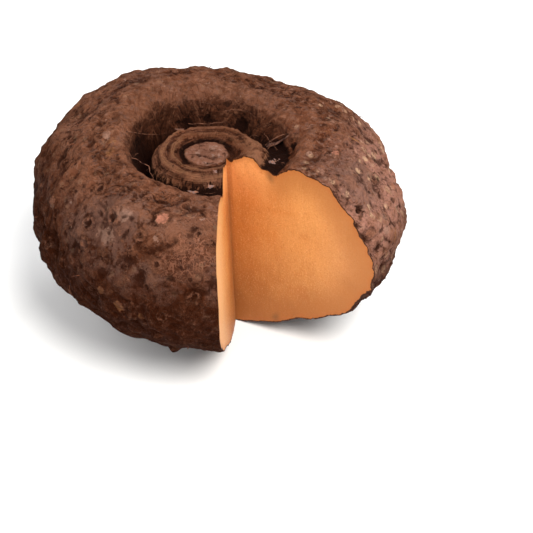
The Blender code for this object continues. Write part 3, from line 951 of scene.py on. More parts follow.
def skin_finish(colours):
    """Brown bark with worn crests, painted shade in hollows, root scars, scrapes and the ringed
    collar.
    """
    make = Finish("yam_skin", 0.03)
    lay, mix, step, span = make.lay, make.mix, make.step, make.span
    band, plus, minus, times = make.band, make.plus, make.minus, make.times
    most, flip, sway, grain = make.most, make.flip, make.sway, make.grain
    curdled, streaks, warped, cells = make.curdled, make.streaks, make.warped, make.cells
    threads, parts, attribute, bump = make.threads, make.parts, make.attribute, make.bump
    place = make.place
    sideways, forward, level = parts(place)
    around = attribute("around", "Vector")
    along = parts(around)[2]
    reach, tone, pad_scar, pit_scar, small_reach, small_tone = map(attribute, VALUE_NAMES[:6])
    crown, groove, ring_turn, axis_reach = map(attribute, VALUE_NAMES[6:10])
    hollow = attribute("hollow")
    brown, dark, light = colours.skin_brown, colours.skin_dark, colours.skin_light
    grey, pink, pale = colours.skin_grey, colours.scar_pink, colours.scar_pale
    off_crown = flip(crown)
    granular = step(sideways, 20 * MM, 85 * MM)
    upper = step(along, 0.135, 0.085)

    # The noises that the layers share.
    bent = warped(place, 14 * MM, 9 * MM)
    mottle = grain(bent, 8 * MM, 5.0, 0.62)
    speck = curdled(1.7, 3.0, 0.65, 4, 2)
    dashes = streaks(warped(around, 0.3, 0.06), 9.0, 330.0, 4.0, 0.62)
    lines = streaks(around, 8.0, 900.0, 3.0, 0.65)
    bloom = curdled(30, 4.0, 0.6, 30, 20)
    warm = grain(place, 55 * MM, 2.0, 0.5)
    flakes = curdled(4.2, 4.0, 0.6, 9, 6)
    hairs = most(threads(place, 11 * MM, 0.02), threads(bent, 7 * MM, 0.018, 0.4))
    crumbs = curdled(3.0, 4.0, 0.7, 6, 4)

    # Ground: brown to red, with bloom, worn crests, dark hollows, streaks and painted light.
    make.colour = mix(step(warm, 0.42, 0.6), brown, colours.skin_red)
    lay(grey, step(bloom, 0.44, 0.62), step(upper, 1.0, 0.0, 0.3, 0.85))
    # Painted light high up at the front left.
    painted_light_high = step(plus(times(sideways, -0.8), times(forward, -0.6)), -10 * MM, 60 * MM)
    painted_light_high = times(painted_light_high, step(level, 108 * MM, 124 * MM))
    lay(light, painted_light_high, 0.33)
    # Painted light and sheen on the right side, in the dusty colour.
    lit_side = step(minus(sideways, times(forward, 0.3)), 62 * MM, 100 * MM)
    lay(colours.skin_dust_and_light, lit_side, step(bloom, 0.34, 0.6, 0.5, 0.95))
    lay(dark, step(mottle, 0.5, 0.36, 0.0, 0.8))
    lay(light, step(mottle, 0.54, 0.7, 0.0, 0.6))
    lay(dark, step(crumbs, 0.44, 0.34, 0.0, 0.7))
    lay(mix(0.5, light, pale), step(crumbs, 0.6, 0.72), 0.55)
    lay(light, step(dashes, 0.55, 0.68), span(upper, 0.22, 0.8))
    lay(dark, step(dashes, 0.46, 0.34), span(upper, 0.3, 0.95))
    lay(light, step(lines, 0.6, 0.72), upper, 0.55)
    lay(dark, step(lines, 0.42, 0.3), upper, 0.6)
    lay(light, step(speck, 0.57, 0.7), span(granular, 0.4, 0.9))
    lay(dark, step(speck, 0.42, 0.28), 0.75)
    lay(mix(0.5, light, pale), hairs, step(mottle, 0.4, 0.6), off_crown, 0.35)
    flaked = times(step(flakes, 0.64, 0.72), step(bloom, 0.48, 0.58), off_crown)
    lay(pale, flaked, 0.75)
    chips = times(step(flakes, 0.57, 0.65), granular, off_crown, 0.75)
    lay(mix(0.5, pink, pale), chips)

    # Patches: dusty, sunk ones darkened with painted shade, pink with curled lines, pale and
    # scraped ones.
    def placed(name, softness):
        """Where a kind of patch lies, with its edge broken up by the crumbs and the mottling."""
        breaking = times(minus(plus(crumbs, mottle), 1.0), softness)
        return step(plus(attribute(name), breaking), 0.34, 0.62)

    lay(grey, placed("grey_place", 1.6), 0.6)
    # Sunk places, darkened with painted shade.
    lay(dark, placed("sunk_shade_place", 2.1), 0.84)
    pinkish = placed("pink_place", 2.6)
    curls = most(threads(place, 4.6 * MM, 0.05, 0.8), threads(bent, 3.4 * MM, 0.04, 0.5))
    lay(mix(0.5, dark, colours.skin_red), pinkish, 0.62)
    lay(mix(0.6, light, pink), pinkish, curls, 0.66)
    lay(mix(0.7, light, pale), placed("pale_place", 1.6), 0.7)
    tan = placed("tan_place", 1.1)
    tan_tint = mix(step(speck, 0.38, 0.6), mix(0.55, light, brown), colours.patch_tan)
    lay(tan_tint, tan, 0.8)
    scrape = grain(warped(around, 0.4, 0.1), 0.085, 4.0, 0.62)
    scraped = times(step(scrape, 0.685, 0.73), step(speck, 0.34, 0.52), off_crown)
    lay(colours.patch_tan, scraped, 0.85)

    # Corky flecks, and open pores with a lighter ring.
    flake_place = warped(place, 4 * MM, 2.4 * MM)
    flake_near = cells(flake_place, 8.5 * MM)
    flake_lot = parts(cells(flake_place, 8.5 * MM, "Color"))[1]
    far_right = step(sideways, 74 * MM, 102 * MM)
    flake_near = minus(flake_near, times(far_right, 0.08))
    flake_lot = plus(flake_lot, times(far_right, 0.16))
    fleck = times(step(flake_near, 0.28, 0.15), step(flake_lot, 0.38, 0.46), off_crown)
    fleck = times(fleck, span(granular, 0.18, 0.85), step(speck, 0.36, 0.5))
    lay(colours.fleck_pale, fleck)
    pore_place = warped(place, 5 * MM, 3.2 * MM)
    pore = cells(pore_place, 6.4 * MM)
    pore_lot = parts(cells(pore_place, 6.4 * MM, "Color"))[0]
    open_pore = times(step(pore_lot, 0.42, 0.52), step(reach, 1.0, 1.3), off_crown)
    pore_pit = times(step(pore, 0.27, 0.12), open_pore)
    pore_ring = times(band(pore, 0.27, 0.4, 0.05), open_pore, step(speck, 0.4, 0.56))
    lay(light, pore_ring, 0.38)
    lay(dark, pore_pit, 0.8)

    # Root scars, the large and the small ones.
    broken = step(grain(place, 3.0 * MM, 2.0), 0.42, 0.58)
    edge_noise = sway(grain(place, 2.2 * MM, 4.0, 0.65), 1.35)
    uneven = plus(reach, edge_noise)
    ring = times(band(uneven, 0.5, 0.92, 0.14), broken)
    pad = times(step(uneven, 0.84, 0.66), pad_scar)
    pit = times(step(uneven, 0.62, 0.3), span(pit_scar, 0.55, 1.0))
    moat = times(band(uneven, 0.98, 1.32, 0.16), step(mottle, 0.62, 0.42))
    scar_tint = mix(step(tone, 0.25, 0.95, 0.0, 0.8), light, pink)
    lay(dark, moat, 0.65)
    lay(scar_tint, ring, step(tone, 0.0, 0.8, 0.2, 0.62))
    lay(dark, pit, flip(pad_scar), 0.72)
    pad_tint = mix(step(tone, 0.45, 0.9), pink, colours.scar_fresh)
    lay(pad_tint, pad, step(tone, 0.3, 0.8, 0.35, 0.92))
    small_uneven = plus(small_reach, edge_noise)
    small_ring = times(band(small_uneven, 0.5, 0.95, 0.16), step(small_tone, 0.4, 0.95), broken)
    small_pit = times(step(small_uneven, 0.62, 0.3), step(small_tone, 0.7, 0.3))
    lay(scar_tint, small_ring, 0.55)
    lay(dark, small_pit, 0.8)

    # The collar: its rings, its bald side and the disc in its middle.
    turn_x, turn_y, _ = parts(around)

    def side(x, y, low, high):
        """A step across the crown towards the side that x and y point to."""
        return step(plus(times(turn_x, x), times(turn_y, y)), low, high)

    ring_phase = make.math("SINE", times(ring_turn, 2 * math.pi / RING_PITCH))
    collar = times(step(axis_reach, 38 * MM, 32 * MM), step(axis_reach, 14 * MM, 18 * MM))
    fine_rings = streaks(around, 2.2, 1500.0, 3.0, 0.65)
    front_left = side(-0.8, -0.55, -0.55, 0.6)
    worn = plus(times(ring_phase, 0.6), sway(fine_rings, 5.0))
    crest = times(step(worn, -0.1, 1.0), collar, span(front_left, 0.25, 0.95))
    lay(colours.collar_olive, crest, 0.85)
    lay(dark, step(worn, 0.0, -1.1), collar, 0.72)
    bald_side = side(0.94, -0.1, 0.66, 0.9)
    bald = times(bald_side, band(axis_reach, 23 * MM, 36 * MM, 3 * MM), step(mottle, 0.36, 0.52))
    lay(mix(0.35, colours.patch_tan, colours.skin_dust_and_light), bald, 0.62)
    disc = step(axis_reach, 13.8 * MM, 12.0 * MM)
    disc_grain = curdled(4.0, 4.0, 0.65, 6, 4)
    lay(mix(0.45, light, colours.skin_dust_and_light), disc, 0.7)
    lay(pale, disc, step(disc_grain, 0.53, 0.66), 0.75)
    lay(dark, disc, step(disc_grain, 0.47, 0.33), 0.8)
    # A painted shadow in the gap round the disc, on its back left.
    back_left = side(-0.55, 0.8, -0.75, 0.1)
    disc_edge = plus(axis_reach, times(edge_noise, 0.9 * MM))
    gap = band(disc_edge, 12.9 * MM, 17.0 * MM, 0.6 * MM)
    lay(colours.painted_shade_black, gap, span(back_left, 0.1, 1.0), 0.98)

    # Painted shade in the hollows, lighter crests, and the slope down to the groove.
    lay(dark, step(hollow, 0.1 * MM, 0.75 * MM, 0.0, 0.75))
    lay(light, step(hollow, -0.25 * MM, -0.9 * MM, 0.0, 0.35))
    blotch = curdled(3.4, 3.0, 0.62, 5, 3)
    slope = band(axis_reach, 52 * MM, 84 * MM, 6 * MM)
    lay(mix(0.5, dark, colours.skin_red), slope, step(blotch, 0.52, 0.61), 0.5)
    lay(grey, slope, step(blotch, 0.46, 0.38), 0.4)

    # The groove and its fibrous wall, both darkened with painted shade.
    tufts = streaks(warped(around, 0.2, 0.04), 16.0, 260.0, 4.0, 0.65)
    torn = grain(bent, 6.0 * MM, 5.0, 0.7)
    back_side = side(-0.35, 1.0, -0.35, 0.55)
    wall = plus(band(axis_reach, 38 * MM, 53 * MM, 4 * MM), sway(torn, 2.4))
    walled = times(step(wall, 0.3, 0.75), band(axis_reach, 36 * MM, 62 * MM, 4 * MM), back_side)
    shreds = streaks(warped(around, 0.3, 0.05), 7.0, 400.0, 4.0, 0.7)
    wall_tint = mix(step(shreds, 0.5, 0.66), colours.shaded_wall, mix(0.55, dark, light))
    wall_tint = mix(step(mottle, 0.52, 0.64, 0.0, 0.45), wall_tint, colours.skin_red)
    wall_tint = mix(step(shreds, 0.47, 0.34), wall_tint, colours.painted_shade_black)
    wall_tint = mix(step(crumbs, 0.48, 0.36, 0.0, 0.8), wall_tint, colours.painted_shade_black)
    lay(wall_tint, walled, 0.88)
    # A painted shadow on the left of the groove, and painted shade in the sunk places of the crown.
    left_side = side(-0.98, 0.05, 0.78, 0.93)
    shade_edge = plus(axis_reach, sway(torn, 7 * MM))
    shaded = times(left_side, band(shade_edge, 37 * MM, 49 * MM, 1.6 * MM))
    sunk = times(placed("sunk_shade_place", 1.8), crown)
    lay(colours.painted_shade_black, most(shaded, sunk), 0.92)
    # Painted shade deep in the groove, and a painted shadow on the collar's outer slope at the
    # front.
    groove_shade = plus(groove, sway(tufts, 1.3))
    gap_edge = plus(axis_reach, sway(tufts, 9 * MM))
    front_gap = times(flip(back_side), band(gap_edge, 34.0 * MM, 46 * MM, 1.2 * MM))
    groove_shade = plus(groove_shade, times(front_gap, 0.6))
    lay(colours.painted_shade_black, step(groove_shade, 0.3, 0.85, 0.0, 0.96))

    # Painted shade near the base, darker towards the bottom and the left, which spares what stands
    # out.
    sinking = plus(level, sway(bloom, 50 * MM))
    sinking = plus(sinking, plus(times(sideways, 0.11), times(granular, 10 * MM)))
    base_shade = step(sinking, 124 * MM, 70 * MM)
    spared = most(
        times(ring, 0.26), times(pad, 0.32), times(small_ring, 0.24), times(tan, 0.4),
        times(step(speck, 0.54, 0.66), 0.15), times(step(crumbs, 0.58, 0.68), 0.22),
    )
    base_shade = times(base_shade, flip(spared))
    lay(colours.low_painted_shade, base_shade, step(crumbs, 0.34, 0.64, 1.0, 0.84))

    # The fine relief.
    radial = streaks(around, 40.0, 60.0, 3.0, 0.6)
    crown_streak = streaks(around, 3.0, 800.0, 4.0, 0.62)
    bump(grain(bent, 5.0 * MM, 7.0, 0.74), 3.6 * MM)
    bump(times(dashes, span(upper, 0.4, 1.0)), 1.8 * MM)
    bump(times(hairs, off_crown), 0.35 * MM)
    bump(minus(times(pore_ring, 0.5), pore_pit), 0.8 * MM)
    bump(minus(ring, times(pit, 1.4)), 0.7 * MM)
    bump(minus(small_ring, small_pit), 0.5 * MM)
    bump(times(crown_streak, crown), 2.4 * MM)
    bump(times(radial, groove), 1.4 * MM)
    return make.made(step(mottle, 0.3, 0.7, 0.94, 0.76))


def flesh_finish(colours, rind_thickness):
    """Orange flesh: deeper near the inner edge, finely speckled, with a thin dark rind and painted
    light and shade.
    """
    make = Finish("yam_flesh", 0.14)
    lay, mix, step, band = make.lay, make.mix, make.step, make.band
    plus, minus, times, flip = make.plus, make.minus, make.times, make.flip
    sway, grain, curdled, scaled = make.sway, make.grain, make.curdled, make.scaled
    parts, attribute, bump = make.parts, make.attribute, make.bump
    place = make.place
    sideways, _, level = parts(place)
    rim, edge = attribute("rim_reach"), attribute("edge_reach")
    deep, light, rust = colours.flesh_deep, colours.flesh_light, colours.flesh_rust_and_shade
    cloud = curdled(26, 4.0, 0.6, 40, 24)
    wander = sway(cloud, 60 * MM)
    core_edge = minus(plus(edge, wander), times(minus(level, 70 * MM), 0.22))
    core = step(core_edge, 2 * MM, 44 * MM, 1.0, 0.0)
    core = times(core, step(level, 124 * MM, 100 * MM, 0.12, 1.0))
    make.colour = mix(core, light, deep)

    # Brighter below the crown, partly a painted highlight; rusty along the inner edge, a painted
    # shade in the crease; and duller below, partly painted shade.
    high = times(step(level, 88 * MM, 122 * MM), step(edge, 42 * MM, 22 * MM), 0.8)
    lay(colours.flesh_top_and_highlight, high)
    crease_shade = times(step(edge, 4.2 * MM, 2.4 * MM), step(level, 10 * MM, 105 * MM))
    lay(colours.flesh_rust_and_shade, crease_shade, 0.55)
    low = step(plus(level, times(wander, 0.5)), 82 * MM, 6 * MM)
    lay(colours.flesh_low_and_shade, low, 0.92)

    # Stains and specks.
    stain = grain(place, 15 * MM, 3.0, 0.55)
    lay(rust, step(stain, 0.58, 0.76, 0.0, 0.4))
    speck = grain(place, 1.0 * MM, 3.0, 0.65)
    flecks = curdled(2.4, 3.0, 0.6, 3, 2)
    lay(rust, step(speck, 0.5, 0.7, 0.0, 0.34))
    lay(colours.flesh_speck, step(speck, 0.47, 0.29, 0.0, 0.32))
    lay(rust, step(flecks, 0.56, 0.72, 0.0, 0.3))

    # Where each face differs, and the zone along the skin.
    ragged = sway(grain(place, 2.6 * MM, 4.0, 0.65), 2.2 * MM)
    uneven = plus(rim, ragged)
    left_face = step(plus(sideways, times(level, 0.036)), 12.5 * MM, 11.0 * MM)
    right_face = flip(left_face)
    far = times(right_face, step(edge, 52 * MM, 98 * MM), 0.55)
    lay(colours.flesh_pink, far)
    rim_factor = times(right_face, step(uneven, 26.0 * MM, 4.0 * MM, 0.0, 0.75), flip(high))
    lay(mix(0.25, colours.flesh_low_and_shade, deep), rim_factor)
    cream = step(level, 130 * MM, 90 * MM, 0.35, 0.52)
    lay(colours.flesh_cream, left_face, step(edge, 26 * MM, 80 * MM), cream)
    # Painted shade along the inner edge of the left face, low down.
    dim = times(left_face, step(edge, 34 * MM, 4 * MM), step(level, 118 * MM, 90 * MM), 0.62)
    lay(colours.flesh_low_and_shade, dim)
    stained = times(band(edge, 29.0 * MM, 33.5 * MM, 2.5 * MM), step(uneven, 9 * MM, 3 * MM), 0.85)
    lay(colours.flesh_stain, stained)
    lay(rust, step(uneven, 5.0 * MM, 0.8 * MM, 0.0, 0.5))
    lay(colours.skin_dark, step(uneven, rind_thickness * 1.25, rind_thickness * 0.7, 0.0, 0.96))
    make.set("Subsurface Weight", 0.1)
    make.set("Subsurface Radius", (1.0, 0.45, 0.2))
    make.set("Subsurface Scale", 3 * MM)
    bump(grain(place, 1.1 * MM, 3.0, 0.65), 0.16 * MM)
    bump(grain(scaled(place, (1.0, 1.0, 0.12)), 5 * MM, 2.0), 0.5 * MM, 0.5)
    return make.made(step(speck, 0.35, 0.65, 0.5, 0.66))


def dry_finish(name, colour, dark, size):
    """Dry plant matter: streaked and dull."""
    make = Finish(name, 0.2)
    streaks = make.grain(make.place, size, 4.0, 0.65)
    make.colour = make.mix(make.step(streaks, 0.36, 0.62), dark, colour)
    make.bump(make.grain(make.place, size * 0.4), 0.3 * MM)
    return make.made(0.88)


def in_cut(place, margin=0.8 * MM):
    """Whether a place lies in the wedge that is cut out, or nearer to it than the margin."""
    offset = place - (CUT_EDGE_FOOT + CUT_EDGE_LEAN * place.z)
    past_left = math.cos(CUT_LEFT_AZIMUTH) * offset.y - math.sin(CUT_LEFT_AZIMUTH) * offset.x
    past_right = math.sin(CUT_RIGHT_AZIMUTH) * offset.x - math.cos(CUT_RIGHT_AZIMUTH) * offset.y
    return past_left > -margin and past_right > -margin


def ride_corm(piece, finish=None):
    """Puts a piece on the corm's body, with its finish."""
    if finish is not None:
        piece.data.materials.clear()
        piece.data.materials.append(finish)
    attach(piece, BODY)


class YAM_OT_corm(bpy.types.Operator):
    """Grow the skin, cut the wedge out, and finish the skin and the flesh"""

    bl_idname = "yam.corm"
    bl_label = "Corm"

    def execute(self, context):
        sizes, colours = scene_settings(context)
        outline = Outline()
        large = draw_scars(sizes, outline)
        small = draw_small_scars(sizes, outline, large)
        bm, values = grow_skin(sizes, outline, large, small)
        whole_places = [vert.co.copy() for vert in bm.verts]
        whole = bpy.data.meshes.new("corm_whole")
        bm.to_mesh(whole)
        columns = np.column_stack([np.array(values), hollowness(whole, HOLLOW_ROUNDS)])
        bpy.data.meshes.remove(whole)
        flatten_base(bm)
        bmesh.ops.recalc_face_normals(bm, faces=bm.faces[:])
        corm = mesh_object("corm_body", bm)
        corm.data.materials.append(skin_finish(colours))
        corm.data.materials.append(flesh_finish(colours, sizes.rind_thickness))
        cutter = mesh_object("wedge_cutter", wedge_cutter(sizes))
        cutter.data.materials.append(None)
        cutter.data.materials.append(corm.data.materials[1])
        cut_wedge_out(corm, cutter)
        mesh = corm.data
        if not any(face.material_index for face in mesh.polygons):
            raise RuntimeError("the wedge was not cut out of the corm")
        carried = carry_values(mesh, whole_places, columns)
        write_attribute(mesh, "around", carried[:, :3])
        for name, column in zip(VALUE_NAMES + ("hollow",), carried.T[3:]):
            write_attribute(mesh, name, column)
        write_attribute(mesh, "rim_reach", rim_reach(mesh))
        write_attribute(mesh, "edge_reach", edge_reach(mesh))
        mark_sharp_edges(mesh)
        ride_corm(corm)
        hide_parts(CORM_NODE)
        return {"FINISHED"}


def add_strand(curve, points, thickness, tip=0.25):
    """Adds a thin strand through the points to a curve; it tapers to its tip."""
    strand = curve.splines.new("POLY")
    strand.points.add(len(points) - 1)
    for index, (target, point) in enumerate(zip(strand.points, points)):
        target.co = (*point, 1.0)
        share = index / (len(points) - 1)
        target.radius = thickness * (1.0 - (1.0 - tip) * share**2)


def strand_object(name):
    """An empty curve whose strands are round and closed at their ends."""
    curve = bpy.data.curves.new(name, "CURVE")
    curve.dimensions = "3D"
    curve.bevel_depth = 1.0
    curve.bevel_resolution = 0
    curve.use_fill_caps = True
    made = bpy.data.objects.new(name, curve)
    bpy.context.scene.collection.objects.link(made)
    return made


def arc_points(start, end, lift, sway, count=9):
    """Points of a slack strand from start to end, lifted in the middle and swayed to one side."""
    side = (end - start).cross(Vector((0, 0, 1))).normalized()
    points = []
    for index in range(count):
        share = index / (count - 1)
        bow = math.sin(math.pi * share)
        point = start.lerp(end, share) + Vector((0, 0, lift * bow)) + side * (sway * bow)
        points.append(point + side * (0.2 * sway * math.sin(5 * math.pi * share)))
    return points


# The fibres that stand out in the crown: from azimuth and distance from the axis, to azimuth
# and distance from the axis, lift, sway and thickness.
LONG_FIBRES = [
    (173, 54.5, 133, 45.4, -0.6, 1.6, 0.24), (-172, 52.0, -175, 45.5, 0.6, -0.9, 0.26),
    (108, 46, 77, 46, 1.0, 3.0, 0.30), (-168, 49, -133, 48, 0.8, -4.0, 0.34),
    (196, 53, 200, 43, 1.0, -1.0, 0.28), (33, 40.5, 17, 51.5, 2.0, 0.6, 0.42),
]


class YAM_OT_crown_fibres(bpy.types.Operator):
    """Lay dry fibres across and along the groove of the crown"""

    bl_idname = "yam.crown_fibres"
    bl_label = "Crown fibres"

    def execute(self, context):
        sizes, colours = scene_settings(context)
        outline = Outline()
        rng = random.Random(FIBRE_SEED)
        fibres = strand_object("crown_fibres")

        def on_crown(azimuth, radius, lift):
            place, normal = skin_point(sizes, outline, azimuth, outline.distance_of(radius))
            return place + normal * lift

        for from_side, from_radius, to_side, to_radius, lift, sway, thickness in LONG_FIBRES:
            start = on_crown(math.radians(from_side), from_radius * MM, 0.0)
            end = on_crown(math.radians(to_side), to_radius * MM, 0.0)
            points = arc_points(start, end, lift * MM, sway * MM, 11)
            add_strand(fibres.data, points, thickness * MM)
        for _ in range(sizes.fibre_count):
            azimuth = rng.uniform(-math.pi, math.pi)
            radius = rng.uniform(33, 52) * MM
            turn = rng.uniform(-0.5, 0.5)
            far_radius = min(max(radius + rng.uniform(-5, 5) * MM, 30 * MM), 55 * MM)
            start = on_crown(azimuth, radius, 0.2 * MM)
            end = on_crown(azimuth + turn, far_radius, rng.uniform(0.3, 2.5) * MM)
            lift, sway = rng.uniform(0.2, 2.5) * MM, rng.uniform(-3.5, 3.5) * MM
            points = arc_points(start, end, lift, sway, 9)
            thickness = rng.uniform(0.10, 0.20) * MM
            if not any(in_cut(point) for point in points):
                add_strand(fibres.data, points, thickness)
        ride_corm(fibres, dry_finish("dry_fibre", colours.fibre_tan, colours.skin_dark, 4 * MM))
        return {"FINISHED"}


class YAM_OT_rootlets(bpy.types.Operator):
    """Grow short dry rootlets from the skin"""

    bl_idname = "yam.rootlets"
    bl_label = "Rootlets"

    def execute(self, context):
        sizes, colours = scene_settings(context)
        outline = Outline()
        rng = random.Random(ROOTLET_SEED)
        rootlets = strand_object("rootlets")
        for _ in range(sizes.rootlet_count):
            azimuth = rng.uniform(-math.pi, math.pi)
            distance = rng.uniform(outline.crown + 12 * MM, outline.total - 50 * MM)
            place, normal = skin_point(sizes, outline, azimuth, distance)
            along = Vector((rng.uniform(-1, 1), rng.uniform(-1, 1), rng.uniform(-1, 0.4)))
            along = (along - normal * along.dot(normal)).normalized()
            length = rng.uniform(3, 8) * MM
            points = []
            for index in range(6):
                share = index / 5
                rise = (0.9 * math.sin(math.pi * 0.8 * share) + 0.3) * MM
                rise -= 0.4 * MM * (share == 0)
                points.append(place + along * (length * share) + normal * rise)
            thickness = rng.uniform(0.22, 0.45) * MM
            if not any(in_cut(point) for point in points):
                add_strand(rootlets.data, points, thickness)
        ride_corm(rootlets, dry_finish("dry_rootlet", colours.skin_red, colours.skin_dark, 3 * MM))
        return {"FINISHED"}


# Leaf scales left round the crown: azimuth and distance from the axis of the root, turn of the
# tip away from the outward direction, length, width, lift of the tip.
LEAF_SCALES = [
    (31, 41.5, -53, 16, 5.0, 12.0),
    (112, 45.0, 75, 6, 3.0, 0.8),
]


def add_scale(bm, root, along, up, length, width, lift):
    """Adds one thin pointed scale that grows from its root, curls up and has ragged edges."""
    made = bmesh.ops.create_grid(bm, x_segments=7, y_segments=4, size=0.5)
    across = along.cross(up).normalized()
    for vert in made["verts"]:
        share = vert.co.x + 0.5
        side = vert.co.y * 2
        taper = (1.0 - share) ** 0.7 if share < 1.0 else 0.0
        ragged = 0.18 * noise.noise(Vector((share * 5, side * 3, root.x * 400)))
        reach = width / 2 * (0.12 + taper) * side * (1 + ragged)
        rise = lift * share**1.6 - 0.12 * width * side**2
        vert.co = root + along * (length * share) + across * reach + up * (rise + 0.4 * MM)
    return made["verts"]


class YAM_OT_leaf_scales(bpy.types.Operator):
    """Set dry pointed remains of leaf scales round the crown"""

    bl_idname = "yam.leaf_scales"
    bl_label = "Leaf scales"

    def execute(self, context):
        sizes, colours = scene_settings(context)
        outline = Outline()
        bm = bmesh.new()
        for side, radius, turn, length, width, lift in LEAF_SCALES:
            azimuth = math.radians(side)
            root, normal = skin_point(sizes, outline, azimuth, outline.distance_of(radius * MM))
            along = Matrix.Rotation(math.radians(turn), 3, "Z") @ outwards(azimuth)
            add_scale(bm, root, along, Vector((0, 0, 1)), length * MM, width * MM, lift * MM)
        bmesh.ops.solidify(bm, geom=bm.faces[:], thickness=0.45 * MM)
        bmesh.ops.recalc_face_normals(bm, faces=bm.faces[:])
        scales = mesh_object("leaf_scales", bm)
        scales.data.shade_smooth()
        finish = dry_finish("dry_leaf_scale", colours.scale_brown, colours.skin_dark, 5 * MM)
        ride_corm(scales, finish)
        return {"FINISHED"}


# Pale grit and mould round the groove: azimuth and distance from the axis, how far the bits
# are strewn along and across the groove, their size, how flat and long they are, and how many.
GRIT_SPOTS = [
    (-13, 36.8, 1.7, 1.8, 1.4, 1.3, 13), (-7, 38.4, 1.5, 1.2, 0.8, 1.3, 4),
    (-99, 35.0, 3.0, 0.4, 1.2, 2.8, 3), (-86, 33.6, 2.0, 0.4, 1.1, 2.6, 3),
    (-77, 26.2, 1.0, 0.9, 1.3, 1.2, 4), (97, 16.5, 0.6, 0.6, 0.6, 1.2, 2),
]


class YAM_OT_groove_grit(bpy.types.Operator):
    """Scatter pale grit and mould in the groove of the crown"""

    bl_idname = "yam.groove_grit"
    bl_label = "Groove grit"

    def execute(self, context):
        sizes, colours = scene_settings(context)
        outline = Outline()
        rng = random.Random(GRIT_SEED)
        bm = bmesh.new()
        for side, radius, strewn_along, strewn_across, size, length, count in GRIT_SPOTS:
            for _ in range(count):
                azimuth = math.radians(side) + rng.uniform(-1, 1) * strewn_along / radius
                away = (radius + rng.uniform(-1, 1) * strewn_across) * MM
                place, normal = skin_point(sizes, outline, azimuth, outline.distance_of(away))
                grain = size * rng.uniform(0.5, 1.0) * MM
                stretch = [rng.uniform(*ends) for ends in ((0.8, 1.3), (0.5, 1.0), (0.16, 0.34))]
                stretch[0] *= length
                turn = azimuth + math.pi / 2 + rng.uniform(-0.4, 0.4)
                if in_cut(place, grain * length * 1.3):
                    continue
                made = bmesh.ops.create_icosphere(bm, subdivisions=2, radius=1.0)
                upright = normal.to_track_quat("Z", "Y").to_matrix()
                turned = upright @ Matrix.Rotation(turn, 3, "Z")
                for vert in made["verts"]:
                    own = Vector((azimuth * 9, away * 900, 0))
                    rough = 1 + 0.8 * noise.noise(vert.co * 1.9 + own)
                    shaped = Vector([c * s * rough * grain for c, s in zip(vert.co, stretch)])
                    vert.co = place + turned @ shaped
        bmesh.ops.recalc_face_normals(bm, faces=bm.faces[:])
        grit = mesh_object("groove_grit", bm)
        grit.data.shade_smooth()
        ride_corm(grit, dry_finish("pale_grit", colours.grit_grey, colours.skin_light, 1.6 * MM))
        return {"FINISHED"}


FLOOR_SIZE = Vector((8.0, 8.0, 0.02))
WORLD_STRENGTH = 0.54

# The lights: name, place, size, power and colour; all point at the corm's middle.
LIGHT_TARGET = Vector((0.0, 0.0, 0.06))
LIGHTS = [
    ("key_light", (0.50, -0.92, 1.25), 0.80, 32.0, (1.0, 0.98, 0.94)),
    ("fill_light", (-1.1, -0.3, 1.1), 1.2, 8.5, (1.0, 1.0, 1.0)),
    ("back_light", (0.7, 0.9, 1.2), 1.0, 10.0, (1.0, 1.0, 1.0)),
]
CAMERA_ELEVATION = math.radians(35)
CAMERA_DISTANCE = 0.936
CAMERA_LENS = 102.1
CAMERA_TARGET = Vector((0.0307, -0.044, 0.065))


def add_area_light(name, place, size, power, colour):
    light = bpy.data.lights.new(name, "AREA")
    light.shape = "DISK"
    light.size = size
    light.energy = power
    light.color = colour
    made = bpy.data.objects.new(name, light)
    made.location = place
    made.rotation_euler = (Vector(place) - LIGHT_TARGET).to_track_quat("Z", "Y").to_euler()
    bpy.context.scene.collection.objects.link(made)


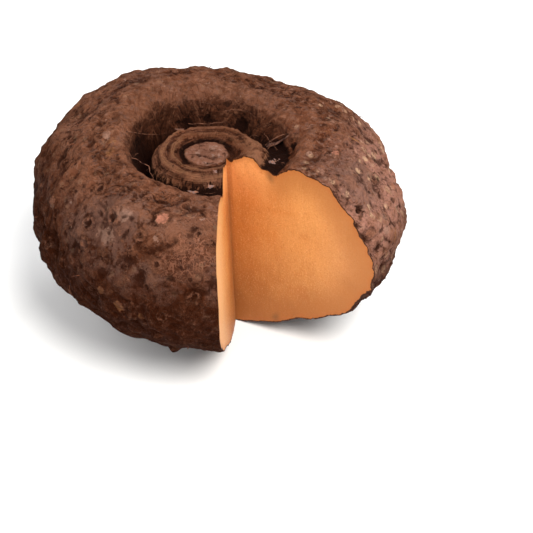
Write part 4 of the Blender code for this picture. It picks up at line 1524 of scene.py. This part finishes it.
class YAM_OT_stage(bpy.types.Operator):
    """Lay the floor and set the light and the camera"""

    bl_idname = "yam.stage"
    bl_label = "Stage"

    def execute(self, context):
        scene = context.scene
        bm = bmesh.new()
        bmesh.ops.create_cube(bm, size=1.0)
        bmesh.ops.scale(bm, vec=FLOOR_SIZE, verts=bm.verts[:])
        bmesh.ops.translate(bm, vec=(0.0, 0.0, -FLOOR_SIZE.z / 2), verts=bm.verts[:])
        floor = mesh_object("floor", bm)
        finish = Finish("floor_white", 0.1)
        finish.colour = finish.mix(finish.grain(finish.place, 0.4, 1.0), (0.90,) * 3, (0.93,) * 3)
        floor.data.materials.append(finish.made(0.9))
        floor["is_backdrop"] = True

        camera = bpy.data.cameras.new("photo_camera")
        camera.sensor_width = 36.0
        camera.lens = CAMERA_LENS
        camera.clip_end = 100.0
        seat = bpy.data.objects.new("photo_camera", camera)
        back = Vector((0.0, -math.cos(CAMERA_ELEVATION), math.sin(CAMERA_ELEVATION)))
        seat.location = CAMERA_TARGET + back * CAMERA_DISTANCE
        seat.rotation_euler = back.to_track_quat("Z", "Y").to_euler()
        scene.collection.objects.link(seat)
        scene.camera = seat

        for light in LIGHTS:
            add_area_light(*light)
        world = bpy.data.worlds.new("pale_room")
        world.use_nodes = True
        background = world.node_tree.nodes["Background"]
        background.inputs["Color"].default_value = (1.0, 1.0, 1.0, 1.0)
        background.inputs["Strength"].default_value = WORLD_STRENGTH
        scene.world = world
        scene.view_settings.view_transform = "Standard"
        return {"FINISHED"}


class YAM_PT_panel(bpy.types.Panel):
    """Lists the yam's pieces and sizes"""

    bl_idname = "YAM_PT_panel"
    bl_label = "Elephant foot yam"
    bl_space_type = "VIEW_3D"
    bl_region_type = "UI"
    bl_category = "Yam"

    def draw(self, context):
        for operator in PIECE_OPERATORS:
            self.layout.operator(operator.bl_idname)
        for settings in (context.scene.yam_sizes, context.scene.yam_colours):
            box = self.layout.box()
            for name in settings.__annotations__:
                box.prop(settings, name)


PIECE_OPERATORS = (
    YAM_OT_corm,
    YAM_OT_crown_fibres,
    YAM_OT_rootlets,
    YAM_OT_leaf_scales,
    YAM_OT_groove_grit,
    YAM_OT_stage,
)
CLASSES = (YamSizes, YamColours) + PIECE_OPERATORS + (YAM_PT_panel,)


def register():
    for made in CLASSES:
        bpy.utils.register_class(made)
    bpy.types.Scene.yam_sizes = PointerProperty(type=YamSizes)
    bpy.types.Scene.yam_colours = PointerProperty(type=YamColours)


def unregister():
    del bpy.types.Scene.yam_colours
    del bpy.types.Scene.yam_sizes
    for made in reversed(CLASSES):
        bpy.utils.unregister_class(made)


def main():
    register()
    bpy.ops.yam.corm()
    bpy.ops.yam.crown_fibres()
    bpy.ops.yam.rootlets()
    bpy.ops.yam.leaf_scales()
    bpy.ops.yam.groove_grit()
    bpy.ops.yam.stage()
    boxes = {"cad": cad_box, "visual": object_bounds()}
    plain = {name: [[float(c) for c in corner] for corner in box] for name, box in boxes.items()}


if __name__ == "__main__":
    main()
